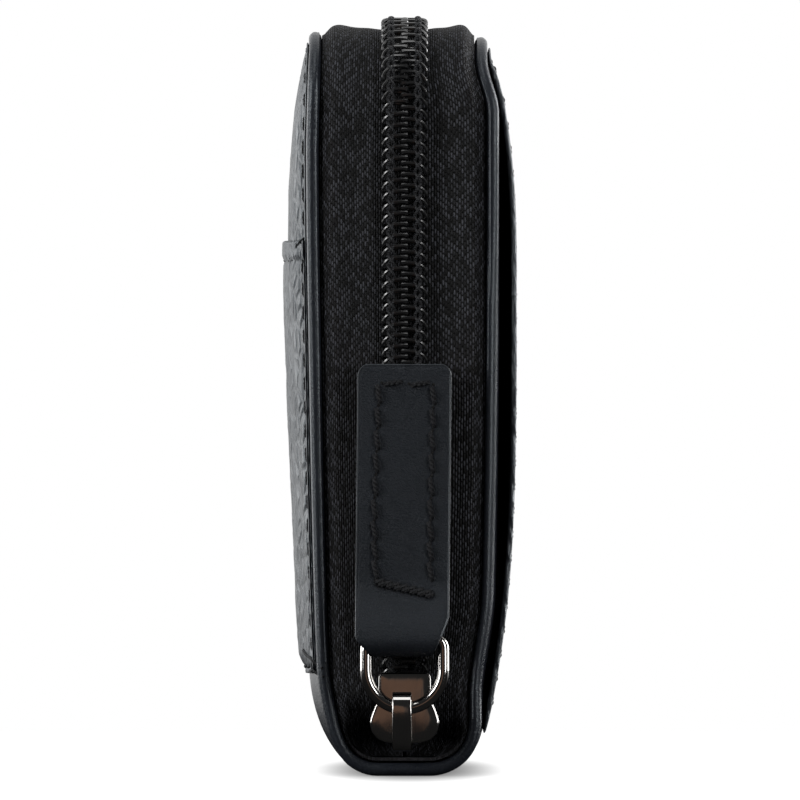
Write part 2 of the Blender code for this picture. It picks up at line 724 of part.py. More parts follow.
def coin_zip(path):
    """Tapes with a flange outside each wall, the two coils on top, and a stop at each end."""
    half = path.half
    wall = COIN_WIDTH / 2 + FIT_GAP
    level = path.height
    under = level - TAPE_THICKNESS
    y = np.array([[-half, half]])
    for name, sign in (("front", -1), ("rear", 1)):
        x = COIN_CENTRE + sign * np.array([wall + TAPE_THICKNESS, wall + TAPE_THICKNESS, COIN_TAPE_EDGE])
        z = np.array([COIN_TOP - COIN_FLANGE, level, level])
        inner_x = COIN_CENTRE + sign * np.array([wall, wall, COIN_TAPE_EDGE])
        inner_z = np.array([COIN_TOP - COIN_FLANGE, under, under])
        slab(
            f"coin_tape_{name}", stack_xyz(x[:, None], y, z[:, None]),
            stack_xyz(inner_x[:, None], y, inner_z[:, None]), WOVEN_TAPE,
        )
        first = COIN_SLIDER_FROM_END + FIT_GAP
        last = path.length - first
        coil(f"coin_coil_{name}", path, COIN_CENTRE, sign, COIN_COIL, first, last)
    x = (COIN_CENTRE - COIN_COIL_HALF, COIN_CENTRE + COIN_COIL_HALF)
    z = (level + SEW_GAP, level + SEW_GAP + COIN_COIL_HEIGHT)
    for name, sign in (("near", -1), ("far", 1)):
        y_low, y_high = sorted((sign * half, sign * (half - COIN_STOP_LENGTH)))
        bevel(box(f"coin_stop_{name}", (x[0], y_low, z[0]), (x[1], y_high, z[1]), GUNMETAL), SLIDER_EDGE)


# Sliders, in their own frame: x across, y towards the closed chain, z away from the tape

def prism(name, outline, low, high, finish):
    """A flat plate with the given outline in x and y."""
    count = len(outline)
    points = [(x, y, z) for z in (low, high) for x, y in outline]
    faces = [list(range(count))[::-1], list(range(count, 2 * count))]
    faces += [[i, (i + 1) % count, (i + 1) % count + count, i + count] for i in range(count)]
    return add_mesh(name, points, faces, finish)


def slider_outline(shoulder, above, below, inset):
    right = [
        (shoulder * across - inset, along * (above if along > 0 else below))
        for across, along in SLIDER_OUTLINE_SHARES
    ]
    return right + [(-x, y) for x, y in right[::-1]]


def boolean(obj, other, operation):
    other.hide_render = True
    other.display_type = "WIRE"
    made = obj.modifiers.new(operation.title(), "BOOLEAN")
    made.operation = operation
    made.solver = "EXACT"
    made.object = other


def slider_body(name, shoulder, back_half, above, below, under, plate, wedge):
    """Front plate with side walls over the coils, back plate behind the tapes, and the wedge between."""
    outline = slider_outline(shoulder, above, below, 0.0)
    body = prism(name, outline, FIT_GAP, under + plate, GUNMETAL)
    channel = slider_outline(shoulder, above, below, SLIDER_WALL)
    channel[0] = (channel[0][0], above + CUT_OVERRUN)
    channel[-1] = (channel[-1][0], above + CUT_OVERRUN)
    last = len(channel) // 2 - 1
    nose = channel[last - 1][0]
    channel[last] = (nose, -below - CUT_OVERRUN)
    channel[last + 1] = (-nose, -below - CUT_OVERRUN)
    cutter = prism(f"{name}_channel", channel, FIT_GAP - CUT_OVERRUN, under, GUNMETAL)
    boolean(body, cutter, "DIFFERENCE")
    back_low = -TAPE_THICKNESS - FIT_GAP - plate
    back_outline = slider_outline(back_half, above, below, 0.0)
    back = prism(f"{name}_back", back_outline, back_low, back_low + plate, GUNMETAL)
    boolean(body, back, "UNION")
    top = -below * WEDGE_TOP_SHARE
    bottom = -below * WEDGE_BOTTOM_SHARE
    middle = (top + bottom) / 2
    diamond = [(wedge, middle), (0.0, top), (-wedge, middle), (0.0, bottom)]
    post = prism(f"{name}_wedge", diamond, back_low + plate / 2, under + plate / 2, GUNMETAL)
    boolean(body, post, "UNION")
    return body


def strap(name, line, half_width, thickness, finish):
    """A flat strap of given half width, carried along a line in y and z of the slider's frame."""
    line = np.array(line)
    step = np.gradient(line, axis=0)
    step /= np.linalg.norm(step, axis=1)[:, None]
    normal = np.stack([-step[:, 1], step[:, 0]], axis=1) * thickness / 2
    x = np.array([[-half_width, half_width]])
    faces = [
        stack_xyz(x, side[:, None, 0], side[:, None, 1]) for side in (line + normal, line - normal)
    ]
    return slab(name, *faces, finish)


def arch_line(front, back, low, high, tail_low):
    """A strap's middle line: up at `back`, over at `high`, and down in a slope to `front`."""
    lift = high - low
    round_off = lift / 3
    return [
        (back, low),
        (back, high - round_off),
        (back - round_off / 3, high - round_off / 3),
        (back - round_off, high),
        (front + lift, high),
        (front + lift / 2, high - lift / 3),
        (front, tail_low),
    ]


def stand_up(obj, x, y, z):
    """Place an object of a slider's frame on the near side, its y upwards and its z towards -Y."""
    obj.location = (x, y, z)
    obj.rotation_euler = (QUARTER_TURN, 0.0, 0.0)


def main_slider():
    body = slider_body(
        "slider_body", SLIDER_SHOULDER, SLIDER_SHOULDER - SLIDER_WALL, SLIDER_ABOVE, SLIDER_BELOW,
        PLATE_UNDER, SLIDER_PLATE, WEDGE_HALF,
    )
    bevel(body, SLIDER_EDGE)
    stand_up(body, ZIP_CENTRE, -ZIP_HALF, SLIDER_HEIGHT)
    for child in (mod.object for mod in body.modifiers if mod.type == "BOOLEAN"):
        stand_up(child, ZIP_CENTRE, -ZIP_HALF, SLIDER_HEIGHT)
    half = BRIDGE_THICKNESS / 2
    high = WIRE_LEVEL + RING_WIRE + FIT_GAP + half
    back = RING_WIRE + FIT_GAP + SEW_GAP + half
    line = arch_line(-SLIDER_BELOW * BRIDGE_TAIL_SHARE, back, PLATE_TOP + SEW_GAP, high, PLATE_TOP + SEW_GAP + half)
    bridge = strap("slider_bridge", line, BRIDGE_WIDTH / 2, BRIDGE_THICKNESS, GUNMETAL)
    stand_up(bridge, ZIP_CENTRE, -ZIP_HALF, SLIDER_HEIGHT)


def pull_ring():
    """The D-ring: a round bottom under the bridge, two legs, and a straight bar inside the pull."""
    radius = RING_HALF_WIDTH
    low = [
        (radius * math.sin(turn), radius * (1 - math.cos(turn)))
        for turn in np.linspace(-QUARTER_TURN, QUARTER_TURN, WIRE_STEPS + 1)
    ]
    corner = [
        (RING_HALF_WIDTH - RING_CORNER * (1 - math.cos(turn)), RING_HEIGHT - RING_CORNER * (1 - math.sin(turn)))
        for turn in np.linspace(0, QUARTER_TURN, 4)
    ]
    line = low + corner + [(-x, y) for x, y in corner[::-1]]
    curve = bpy.data.curves.new("pull_ring", "CURVE")
    curve.dimensions = "3D"
    curve.bevel_depth = RING_WIRE
    curve.bevel_resolution = 2
    spline = curve.splines.new("POLY")
    spline.points.add(len(line) - 1)
    for point, (x, y) in zip(spline.points, line):
        point.co = (x, y, 0.0, 1.0)
    spline.use_cyclic_u = True
    curve.materials.append(material(GUNMETAL))
    ring = bpy.data.objects.new("pull_ring", curve)
    bpy.context.scene.collection.objects.link(ring)
    stand_up(ring, ZIP_CENTRE, -ZIP_HALF - WIRE_LEVEL, SLIDER_HEIGHT)


def pull_tab():
    """A leather strip folded round the ring's bar, its two layers sewn together above it."""
    loop = RING_WIRE + FIT_GAP + PULL_LAYER / 2
    front = -loop + PULL_LAYER + SEW_GAP
    narrow = RING_HALF_WIDTH - RING_WIRE - FIT_GAP
    shoulder = RING_WIRE + FIT_GAP
    corner, inset = corner_rows(PULL_CORNER, EDGE_ROLL)
    rows = [
        (PULL_LENGTH - distance, PULL_HALF_WIDTH - step) for distance, step in zip(corner[::-1], inset[::-1])
    ]
    taper = PULL_HALF_WIDTH * PULL_TAPER_SHARE
    rows += [(PULL_FOLD_LENGTH, PULL_HALF_WIDTH), (PULL_TAPER, PULL_HALF_WIDTH), (shoulder + SEW_GAP, taper)]
    rows += [(shoulder - SEW_GAP, narrow)]
    path = [(y, -loop, width) for y, width in rows]
    for turn in np.linspace(0, HALF_TURN, LOOP_STEPS + 1):
        path.append((-loop * math.sin(turn), -loop * math.cos(turn), narrow))
    for y, width in rows[::-1]:
        bend = float(smooth_step(y / PULL_FOLD_LENGTH))
        path.append((y, loop + (front - loop) * bend, width))
    line = np.array([(y, z) for y, z, _ in path])
    width = np.array([width for _, _, width in path])[:, None]
    step = np.gradient(line, axis=0)
    step /= np.linalg.norm(step, axis=1)[:, None]
    normal = np.stack([-step[:, 1], step[:, 0]], axis=1) * PULL_LAYER / 2
    roll = EDGE_ROLL / 2
    x = np.concatenate([-width, -width + roll, width - roll, width], axis=1)
    outer, inner = (
        stack_xyz(x, side[:, None, 0], side[:, None, 1]) for side in (line - normal, line + normal)
    )
    outer, inner = roll_edges(outer, inner)
    tab = slab("pull_tab", outer, inner, PULL_LEATHER)
    stand_up(tab, ZIP_CENTRE, -ZIP_HALF - WIRE_LEVEL, SLIDER_HEIGHT + RING_HEIGHT)


def coin_slider(path):
    """The coin pocket's slider, its bridge and its flat metal pull, at the near end of the chain."""
    under = SEW_GAP + COIN_COIL_HEIGHT + FIT_GAP
    top = under + COIN_PLATE
    place = (COIN_CENTRE, -path.half + COIN_SLIDER_FROM_END, path.height)
    body = slider_body(
        "coin_slider", COIN_SHOULDER, COIN_WIDTH / 2 - COIN_WALL - FIT_GAP, COIN_SLIDER_HALF_LENGTH,
        COIN_SLIDER_HALF_LENGTH, under, COIN_PLATE, COIN_TAPE_EDGE - FIT_GAP,
    )
    body.location = place
    for child in (mod.object for mod in body.modifiers if mod.type == "BOOLEAN"):
        child.location = place
    reach = COIN_BAR * math.sqrt(2) + FIT_GAP
    axis = top + reach
    half = COIN_BRIDGE_THICKNESS / 2
    high = axis + reach + half
    low = top + SEW_GAP
    back = reach + half
    line = arch_line(-back, back, low, high, low)
    line = line[:4] + [(-y, z) for y, z in line[3::-1]]
    bridge = strap("coin_slider_bridge", line, COIN_BRIDGE_HALF, COIN_BRIDGE_THICKNESS, GUNMETAL)
    bridge.location = place
    outline = [
        (COIN_PULL_HALF, -COIN_BAR),
        (COIN_PULL_HALF, COIN_PULL_LENGTH - COIN_PULL_HALF),
        (COIN_PULL_HALF / 2, COIN_PULL_LENGTH),
    ]
    outline += [(-x, y) for x, y in outline[::-1]]
    pull = prism("coin_pull", outline, -COIN_BAR, COIN_BAR, GUNMETAL)
    hole = COIN_BRIDGE_HALF + FIT_GAP
    window = [(hole, COIN_BAR), (hole, COIN_PULL_HOLE), (-hole, COIN_PULL_HOLE), (-hole, COIN_BAR)]
    cutter = prism("coin_pull_window", window, -CUT_OVERRUN, CUT_OVERRUN, GUNMETAL)
    boolean(pull, cutter, "DIFFERENCE")
    for piece in (pull, cutter):
        piece.location = (place[0], place[1], place[2] + axis)


def main():
    clear_scene()
    around = AroundPath()
    spine()
    spine_lining()
    for side in (FRONT, REAR):
        cover(side)
        lining(side)
        card_panels(side)
        zip_tape(side, around)
        first = FIRST_TOOTH - TAPE_END
        coil(f"{side.name}_zip_coil", around, ZIP_CENTRE, side.sign, MAIN_COIL, first, around.length - first)
        zip_stop(side)
    front_panel()
    front_pocket()
    rear_pocket()
    coin_pocket()
    end = COIN_HALF_LENGTH - COIN_SEAM - COIN_GUSSET - FIT_GAP
    coin_path = StraightPath(end, COIN_TOP + FIT_GAP + TAPE_THICKNESS)
    coin_zip(coin_path)
    main_slider()
    pull_ring()
    pull_tab()
    coin_slider(coin_path)


main()
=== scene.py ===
"""The looks of a zip-around leather wallet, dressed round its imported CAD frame.

The wallet stands on its spine, seen square on from the end where its zip closes. The front cover is on the
left (-X), the rear cover on the right (+X), and the slider, ring and pull face the camera (-Y). Lengths are
in metres.
"""

import json
import logging
import math
from dataclasses import dataclass
from enum import Enum

import bmesh
import bpy
import numpy as np
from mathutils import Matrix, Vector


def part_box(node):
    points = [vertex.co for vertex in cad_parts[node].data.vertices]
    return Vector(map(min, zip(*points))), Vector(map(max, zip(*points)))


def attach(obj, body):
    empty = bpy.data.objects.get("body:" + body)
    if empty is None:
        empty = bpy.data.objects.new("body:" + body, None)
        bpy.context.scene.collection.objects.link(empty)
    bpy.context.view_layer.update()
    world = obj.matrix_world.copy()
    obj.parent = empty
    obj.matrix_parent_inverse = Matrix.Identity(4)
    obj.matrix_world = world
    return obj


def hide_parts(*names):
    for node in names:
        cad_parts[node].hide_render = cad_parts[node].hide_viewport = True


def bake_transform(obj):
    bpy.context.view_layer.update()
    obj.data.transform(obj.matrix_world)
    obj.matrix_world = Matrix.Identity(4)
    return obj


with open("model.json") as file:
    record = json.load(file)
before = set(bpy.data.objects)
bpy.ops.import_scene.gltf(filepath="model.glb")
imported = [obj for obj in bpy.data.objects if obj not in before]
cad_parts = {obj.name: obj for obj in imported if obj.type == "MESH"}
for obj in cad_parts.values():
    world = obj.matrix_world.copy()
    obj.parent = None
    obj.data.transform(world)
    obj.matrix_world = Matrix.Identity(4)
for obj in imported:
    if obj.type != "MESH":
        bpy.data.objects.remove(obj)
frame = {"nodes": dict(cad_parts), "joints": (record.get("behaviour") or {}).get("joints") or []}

Array = np.ndarray

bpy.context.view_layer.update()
MM = 0.001
QUARTER = math.pi / 2
TURN = 2 * math.pi
X_AXIS, Y_AXIS = np.array([1.0, 0.0, 0.0]), np.array([0.0, 1.0, 0.0])
LATTICE = 256
THINNEST = 0.06
SEAM_PITCH, STITCH = 3.1 * MM, 2.5 * MM
PANEL_CORNER, PANEL_EDGE = 9.2 * MM, 0.35 * MM
LOG = logging.getLogger("wallet")


# Arrays

def ease(value: Array | float) -> Array:
    """Smooth step: 3t^2 - 2t^3 of the value held between 0 and 1.

    Args:
        value: Any numbers.

    Returns:
        The eased numbers, from 0 to 1.
    """
    held = np.clip(value, 0.0, 1.0)
    return held * held * (3 - 2 * held)


def bump(value: Array, centre: float, width: float) -> Array:
    """Bell curve exp(-((value - centre) / width)^2)."""
    return np.exp(-(((value - centre) / width) ** 2))


def unit(vectors: Array) -> Array:
    """Vectors of any shape (..., 3) at length one."""
    return vectors / np.maximum(np.linalg.norm(vectors, axis=-1, keepdims=True), 1e-12)


def xyz(x: Array, y: Array, z: Array) -> Array:
    """Points (..., 3) from three arrays that broadcast together."""
    return np.stack(np.broadcast_arrays(x, y, z), axis=-1).astype(float)


def paired(first: Array | float, second: Array | float) -> Array:
    """Pairs (..., 2) from two arrays that broadcast together."""
    return np.stack(np.broadcast_arrays(first, second), axis=-1)


def signed_power(value: Array, power: Array | float) -> Array:
    """A power that keeps the sign: sign(v) |v|^p."""
    return np.sign(value) * np.abs(value) ** power


def run_length(line: Array) -> Array:
    """Distance from the first point of a polyline (N, D) to each of its points."""
    return np.concatenate([[0.0], np.cumsum(np.linalg.norm(np.diff(line, axis=0), axis=1))])


def sampled(line: Array, places: Array, at: Array) -> Array:
    """Points (M, D) read off a polyline (N, D) at new places, where its own points lie at the given ones."""
    return np.stack([np.interp(at, places, column) for column in line.T], axis=1)


def evened(line: Array, count: int, closed: bool = False) -> Array:
    """A polyline read off again at even distances, without its last point where it closes on its first."""
    length = run_length(line)
    return sampled(line, length, np.linspace(0, length[-1], count, endpoint=not closed))


def smoothed(line: Array, times: int) -> Array:
    """A polyline with each inner point moved, so many times, to (the last + 2 of itself + the next) / 4."""
    line = line.copy()
    for _ in range(times):
        line[1:-1] = (line[:-2] + 2 * line[1:-1] + line[2:]) / 4
    return line


def even_places(line: Array, spacing: float) -> tuple[Array, Array]:
    """Places at even distances along a polyline, the first of them half a space from its start.

    Args:
        line: Points (N, D), at most one of them repeated.
        spacing: Distance wanted between two places, stretched a little so that a whole number fits.

    Returns:
        The places (M, D) and the unit directions of the line there (M, D).
    """
    length = run_length(line)
    count = max(int(round(length[-1] / spacing)), 1)
    at = (np.arange(count) + 0.5) / count * length[-1]
    reach = length[-1] / count / 8
    behind, middle, beyond = (sampled(line, length, at + step) for step in (-reach, 0.0, reach))
    return middle, unit(beyond - behind)


def ripple(a: Array, b: Array, size: float) -> Array:
    """Slow unevenness between about -1 and 1: four crossing sine waves of unlike direction and length."""
    waves = ((1.0, 0.35, 0.4), (-0.45, 1.1, 1.9), (1.7, -0.8, 3.1), (0.6, 2.1, 5.3))
    return sum(np.sin((a * p + b * q) / size + r) for p, q, r in waves) / len(waves)


def patches(a: Array, b: Array, size: tuple[float, float], seed: int) -> Array:
    """Smooth patches of unlike height from 0 to 1: random numbers on a lattice, eased between its points.

    Args:
        a: First coordinate.
        b: Second coordinate.
        size: Size of a patch along both.
        seed: Start of the random numbers.

    Returns:
        The heights.
    """
    lattice = np.random.default_rng(seed).random((LATTICE, LATTICE))
    across, along = a / size[0], b / size[1]
    column, row = np.floor(across).astype(int), np.floor(along).astype(int)
    right, up = ease(across - column), ease(along - row)

    def heights(row: Array) -> Array:
        """Heights on one row of the lattice, eased from column to column."""
        here, beside = (lattice[place % LATTICE, row % LATTICE] for place in (column, column + 1))
        return here * (1 - right) + beside * right

    return heights(row) * (1 - up) + heights(row + 1) * up


def wrinkles(y: Array, z: Array) -> Array:
    """Upright folds from 0 to 1: ridges of wandering patches, the larger ones with finer ones on them."""
    drift = 2.4 * MM * patches(y, z, (8 * MM, 11 * MM), 3)
    broad = 1 - np.abs(2 * patches(y + drift, z, (2.1 * MM, 9 * MM), 5) - 1)
    fine = 1 - np.abs(2 * patches(y - drift, z, (1.0 * MM, 4 * MM), 8) - 1)
    return 0.65 * broad + 0.35 * fine


# Meshes

class Surface:
    """Points, faces and texture places gathered for one mesh."""

    def __init__(self) -> None:
        """Start with nothing."""
        self.points: list[Array] = []
        self.faces: list[list[int]] = []
        self.places: list[Array] = []
        self.count = 0

    def add(self, points: Array, faces: Array, places: Array | None = None) -> "Surface":
        """Add points (..., 3), faces by point number, and a texture place (..., 2) for each point."""
        points = points.reshape(-1, 3)
        self.faces += (faces + self.count).tolist()
        self.points.append(points)
        self.places.append(np.zeros((len(points), 2)) if places is None else places.reshape(-1, 2))
        self.count += len(points)
        return self

    def rings(self, points: Array, capped: bool = False) -> "Surface":
        """Join the rows of a grid (rows, columns, 3), each taken as a ring, with quads from one to the next.

        Args:
            points: The grid.
            capped: Whether a face closes the first ring and another the last.

        Returns:
            This surface.
        """
        rows, columns = points.shape[:2]
        index = np.arange(rows * columns).reshape(rows, columns)
        beside = np.roll(index, -1, axis=1)
        quads = np.stack([index[:-1], beside[:-1], beside[1:], index[1:]], axis=-1)
        caps = [index[0, ::-1] + self.count, index[-1] + self.count] if capped else []
        self.add(points, quads.reshape(-1, 4))
        self.faces += [cap.tolist() for cap in caps]
        return self

    def skin(self, outer: Array, inner: Array, places: Array | None = None) -> "Surface":
        """Close the space between two grids (rows, columns, 3) with faces on both and a rim between them."""
        rows, columns = outer.shape[:2]
        count = rows * columns
        index = np.arange(count).reshape(rows, columns)
        near, far = index[:-1], index[1:]
        quads = np.stack([near[:, :-1], far[:, :-1], far[:, 1:], near[:, 1:]], axis=-1).reshape(-1, 4)
        rim = np.concatenate([index[0, :-1], index[:-1, -1], index[-1, :0:-1], index[:0:-1, 0]])
        after = np.roll(rim, -1)
        walls = np.stack([rim, after, after + count, rim + count], axis=-1)
        faces = np.concatenate([quads, quads[:, ::-1] + count, walls])
        both = None if places is None else np.concatenate([places.reshape(-1, 2)] * 2)
        return self.add(np.concatenate([outer.reshape(-1, 3), inner.reshape(-1, 3)]), faces, both)

    def tubes(
        self, centres: Array, across: Array, radius: Array | float, sides: int, looped: bool = False
    ) -> "Surface":
        """Round tubes: a circle of the radius, square to the line, carried along each centre line.

        Args:
            centres: Centre lines (tubes, points, 3).
            across: A direction (tubes, points, 3), or one that broadcasts to it, that no line runs along.
            radius: Radius at each point of a line, or one for all.
            sides: Corners of each circle.
            looped: Whether each line joins up with its own start.

        Returns:
            This surface.
        """
        ahead = np.roll(centres, -1, axis=1) - np.roll(centres, 1, axis=1)
        if not looped:
            ahead[:, 0] = centres[:, 1] - centres[:, 0]
            ahead[:, -1] = centres[:, -1] - centres[:, -2]
        ahead = unit(ahead)
        side = unit(np.cross(ahead, np.broadcast_to(across, centres.shape)))
        top = np.cross(side, ahead)
        turn = np.linspace(0, TURN, sides, endpoint=False)
        size = np.broadcast_to(np.asarray(radius, float), centres.shape[:2])[..., None, None]
        ring = side[..., None, :] * np.cos(turn)[:, None] + top[..., None, :] * np.sin(turn)[:, None]
        points = centres[..., None, :] + ring * size
        many, length = centres.shape[:2]
        index = np.arange(many * length * sides).reshape(many, length, sides)
        last = index if looped else index[:, :-1]
        following = np.roll(index, -1, axis=1) if looped else index[:, 1:]
        quads = np.stack(
            [last, following, np.roll(following, -1, axis=2), np.roll(last, -1, axis=2)], axis=-1
        ).reshape(-1, 4)
        steps = np.linalg.norm(np.diff(centres, axis=1), axis=2)
        along = np.concatenate([np.zeros((many, 1)), np.cumsum(steps, axis=1)], axis=1)
        places = paired(along[..., None], turn / TURN)
        self.add(points, quads, places)
        if not looped:
            start = self.count - many * length * sides
            caps = np.concatenate([index[:, 0, ::-1], index[:, -1]]) + start
            self.faces += caps.tolist()
        return self

    def build(self, name: str, crease: float = 40.0) -> bpy.types.Object:
        """Make the object: its faces turn outwards, and its corners stay sharp past an angle in degrees."""
        mesh = bpy.data.meshes.new(name)
        mesh.from_pydata(np.concatenate(self.points).tolist(), [], self.faces)
        layer = mesh.uv_layers.new(name="UVMap")
        corner = np.empty(len(mesh.loops), dtype=np.int64)
        mesh.loops.foreach_get("vertex_index", corner)
        layer.data.foreach_set("uv", np.concatenate(self.places)[corner].astype(np.float32).ravel())
        shape = bmesh.new()
        shape.from_mesh(mesh)
        bmesh.ops.recalc_face_normals(shape, faces=shape.faces)
        shape.to_mesh(mesh)
        shape.free()
        mesh.shade_smooth()
        mesh.set_sharp_from_angle(angle=math.radians(crease))
        piece = bpy.data.objects.new(name, mesh)
        bpy.context.scene.collection.objects.link(piece)
        return piece


def leaf(
    outer: Array, inner: Array, y: Array, z: Array, share: Array, places: Array | None = None
) -> Surface:
    """A sheet between two faces near upright, thinned about its middle.

    Args:
        outer: x of the face on one side.
        inner: x of the face on the other.
        y: y of the points (rows, columns).
        z: z of the points.
        share: Share of the thickness that is left at each point.
        places: Texture places (rows, columns, 2).

    Returns:
        The sheet.
    """
    middle, half = (outer + inner) / 2, (outer - inner) / 2 * share
    return Surface().skin(xyz(middle + half, y, z), xyz(middle - half, y, z), places)


def drawn(lines: list[Array], y: Array) -> Surface:
    """A sheet between two sections (N, 2) of x and z, drawn along y, its places y and the length round."""
    faces = [xyz(line[:, None, 0], y, line[:, None, 1]) for line in lines]
    return Surface().skin(*faces, paired(y, run_length(lines[0])[:, None]))


# Materials

class Value:
    """A shader socket that takes part in Python arithmetic through Math nodes."""

    def __init__(self, graph: "Graph", socket: bpy.types.NodeSocket) -> None:
        """Hold the socket and the graph it belongs to."""
        self.graph = graph
        self.socket = socket

    def math(self, operation: str, *others: "Value | float") -> "Value":
        """A Math node of this value and the others, in this order."""
        inputs = dict(enumerate((self, *others)))
        return self.graph.node("ShaderNodeMath", {"operation": operation}, inputs)

    def __add__(self, other: "Value | float") -> "Value":
        """Sum."""
        return self.math("ADD", other)

    def __sub__(self, other: "Value | float") -> "Value":
        """Difference."""
        return self.math("SUBTRACT", other)

    def __rsub__(self, other: float) -> "Value":
        """A number less this value."""
        return self.math("MULTIPLY", -1.0) + other

    def __mul__(self, other: "Value | float") -> "Value":
        """Product."""
        return self.math("MULTIPLY", other)

    __radd__ = __add__
    __rmul__ = __mul__

    def clamped(self, low: float, high: float) -> "Value":
        """This value scaled so that low gives 0 and high gives 1, eased and held between them."""
        settings = {"interpolation_type": "SMOOTHSTEP"}
        inputs = {"Value": self, "From Min": low, "From Max": high}
        return self.graph.node("ShaderNodeMapRange", settings, inputs)

    def sibling(self, output: int) -> "Value":
        """Another output of this value's node."""
        return Value(self.graph, self.socket.node.outputs[output])


class Graph:
    """The nodes of one material, or of the world, round its own shader."""

    def __init__(self, name: str, world: bool = False) -> None:
        """Make the material or world with its shader and output."""
        kind = bpy.data.worlds if world else bpy.data.materials
        self.owner = kind.new(name)
        self.owner.use_nodes = True
        self.tree = self.owner.node_tree
        self.shader = self.tree.nodes["Background" if world else "Principled BSDF"]

    def node(
        self, kind: str, settings: dict | None = None, inputs: dict | None = None, output: str | int = 0
    ) -> Value:
        """Add a node.

        Args:
            kind: The node's type.
            settings: Its properties, set first.
            inputs: Its sockets by name or number, as links or values.
            output: The socket to return.

        Returns:
            The output as a value.
        """
        made = self.tree.nodes.new(kind)
        for name, setting in (settings or {}).items():
            setattr(made, name, setting)
        for name, given in (inputs or {}).items():
            self.connect(made.inputs[name], given)
        return Value(self, made.outputs[output])

    def connect(self, socket: bpy.types.NodeSocket, given: "Value | float | tuple") -> None:
        """Link a value into a socket, or set its number or colour."""
        if isinstance(given, Value):
            self.tree.links.new(given.socket, socket)
        else:
            socket.default_value = given

    def set(self, **sockets: "Value | float | tuple") -> "Graph":
        """Set or link the shader's sockets, spaces in their names written as underscores."""
        for name, given in sockets.items():
            self.connect(self.shader.inputs[name.replace("_", " ")], given)
        return self

    def place(self, stretch: tuple[float, float, float] = (1, 1, 1), turn: float = 0.0) -> Value:
        """Object coordinates, stretched and turned about the Y axis."""
        where = self.node("ShaderNodeTexCoord", output="Object")
        inputs = {"Vector": where, "Scale": stretch, "Rotation": (0, turn, 0)}
        return self.node("ShaderNodeMapping", inputs=inputs)

    def uv(self) -> tuple[Value, Value]:
        """The texture place along a piece and across it."""
        place = self.node("ShaderNodeUVMap", {"uv_map": "UVMap"})
        along = self.node("ShaderNodeSeparateXYZ", inputs={"Vector": place})
        return along, along.sibling(1)

    def noise(self, size: float, detail: float, vector: Value | None = None) -> Value:
        """Noise whose patches are about this size."""
        inputs = {"Vector": vector or self.place(), "Scale": 1 / size, "Detail": detail}
        return self.node("ShaderNodeTexNoise", inputs=inputs)

    def cells(self, size: float, vector: Value) -> Value:
        """Distance from the nearest edge in a pattern of uneven cells about this size."""
        settings = {"feature": "DISTANCE_TO_EDGE"}
        return self.node("ShaderNodeTexVoronoi", settings, {"Vector": vector, "Scale": 1 / size}, "Distance")

    def mixed(self, factor: Value, low: "Value | tuple", high: "Value | tuple") -> Value:
        """A colour between two, each a link or four numbers, by a factor."""
        return self.node("ShaderNodeMix", {"data_type": "RGBA"}, {0: factor, 6: low, 7: high}, 2)

    def shade(self, factor: Value, dark: tuple, light: tuple) -> Value:
        """An opaque colour between two, by a factor."""
        return self.mixed(factor, (*dark, 1.0), (*light, 1.0))

    def relief(self, height: Value, depth: float) -> Value:
        """A bump normal from a height of 0 to 1, this many metres deep."""
        return self.node("ShaderNodeBump", inputs={"Height": height, "Distance": depth, "Strength": 1.0})

    def rays(self, *kinds: str) -> list[Value]:
        """For each kind, 1 for a ray of that kind and 0 for any other."""
        return [self.node("ShaderNodeLightPath", output=f"Is {kind} Ray") for kind in kinds]


class Grain(Enum):
    """How a leather's surface is finished."""

    PEBBLED = "pebbled"
    SMOOTH = "smooth"


@dataclass(frozen=True)
class Look:
    """What every finish has: its material's name, the slot that it fills, and its darker colour."""

    name: str
    slot: str
    colour: tuple[float, float, float]

    def material(self) -> bpy.types.Material:
        """Build the material.

        Returns:
            The finished material.
        """
        graph = Graph(self.name)
        self.paint(graph)
        return graph.owner

    def paint(self, graph: Graph) -> None:
        """Set the shader's sockets, each finish in its own way."""
        raise NotImplementedError


@dataclass(frozen=True)
class Leather(Look):
    """Dyed leather: cells of grain with creases between them, fine pores, and slow change of gloss."""

    bright: tuple[float, float, float]
    roughness: float
    grain: Grain
    grain_size: float
    grain_depth: float
    shine: float = 0.35
    tall: float = 1.0

    def paint(self, graph: Graph) -> None:
        """Mix pebbles, pores, wear and scuffs into colour, gloss and relief."""
        upright = graph.place((1.0, 1.0, 1 / self.tall))
        wobble = graph.noise(self.grain_size * 2.5, 2.0, upright)
        creases = graph.cells(self.grain_size, upright)
        pebbles = creases.clamped(0.0, 0.34) * (0.6 + 0.8 * wobble)
        pores = graph.noise(self.grain_size * 0.22, 4.0)
        wear = graph.noise(22 * MM, 5.0)
        scuffs = graph.noise(4 * MM, 6.0, graph.place((1, 1, 0.3)))
        if self.grain is Grain.PEBBLED:
            height = pebbles + 0.22 * pores
        else:
            height = 0.3 * creases.clamped(0.0, 0.2) + 0.7 * pores
        # The colour is darkest in the creases between the pebbles, a painted shade there; wear and scuffs
        # vary it at random.
        shade = (0.45 * wear + 0.35 * scuffs + 0.2 * pebbles).clamped(0.3, 0.75)
        graph.set(
            Base_Color=graph.shade(shade, self.colour, self.bright),
            Roughness=(self.roughness - 0.06) + 0.16 * scuffs - 0.05 * pebbles,
            Normal=graph.relief(height, self.grain_depth),
            Specular_IOR_Level=self.shine,
            Specular_Tint=(0.88, 0.95, 1.0, 1.0),
        )


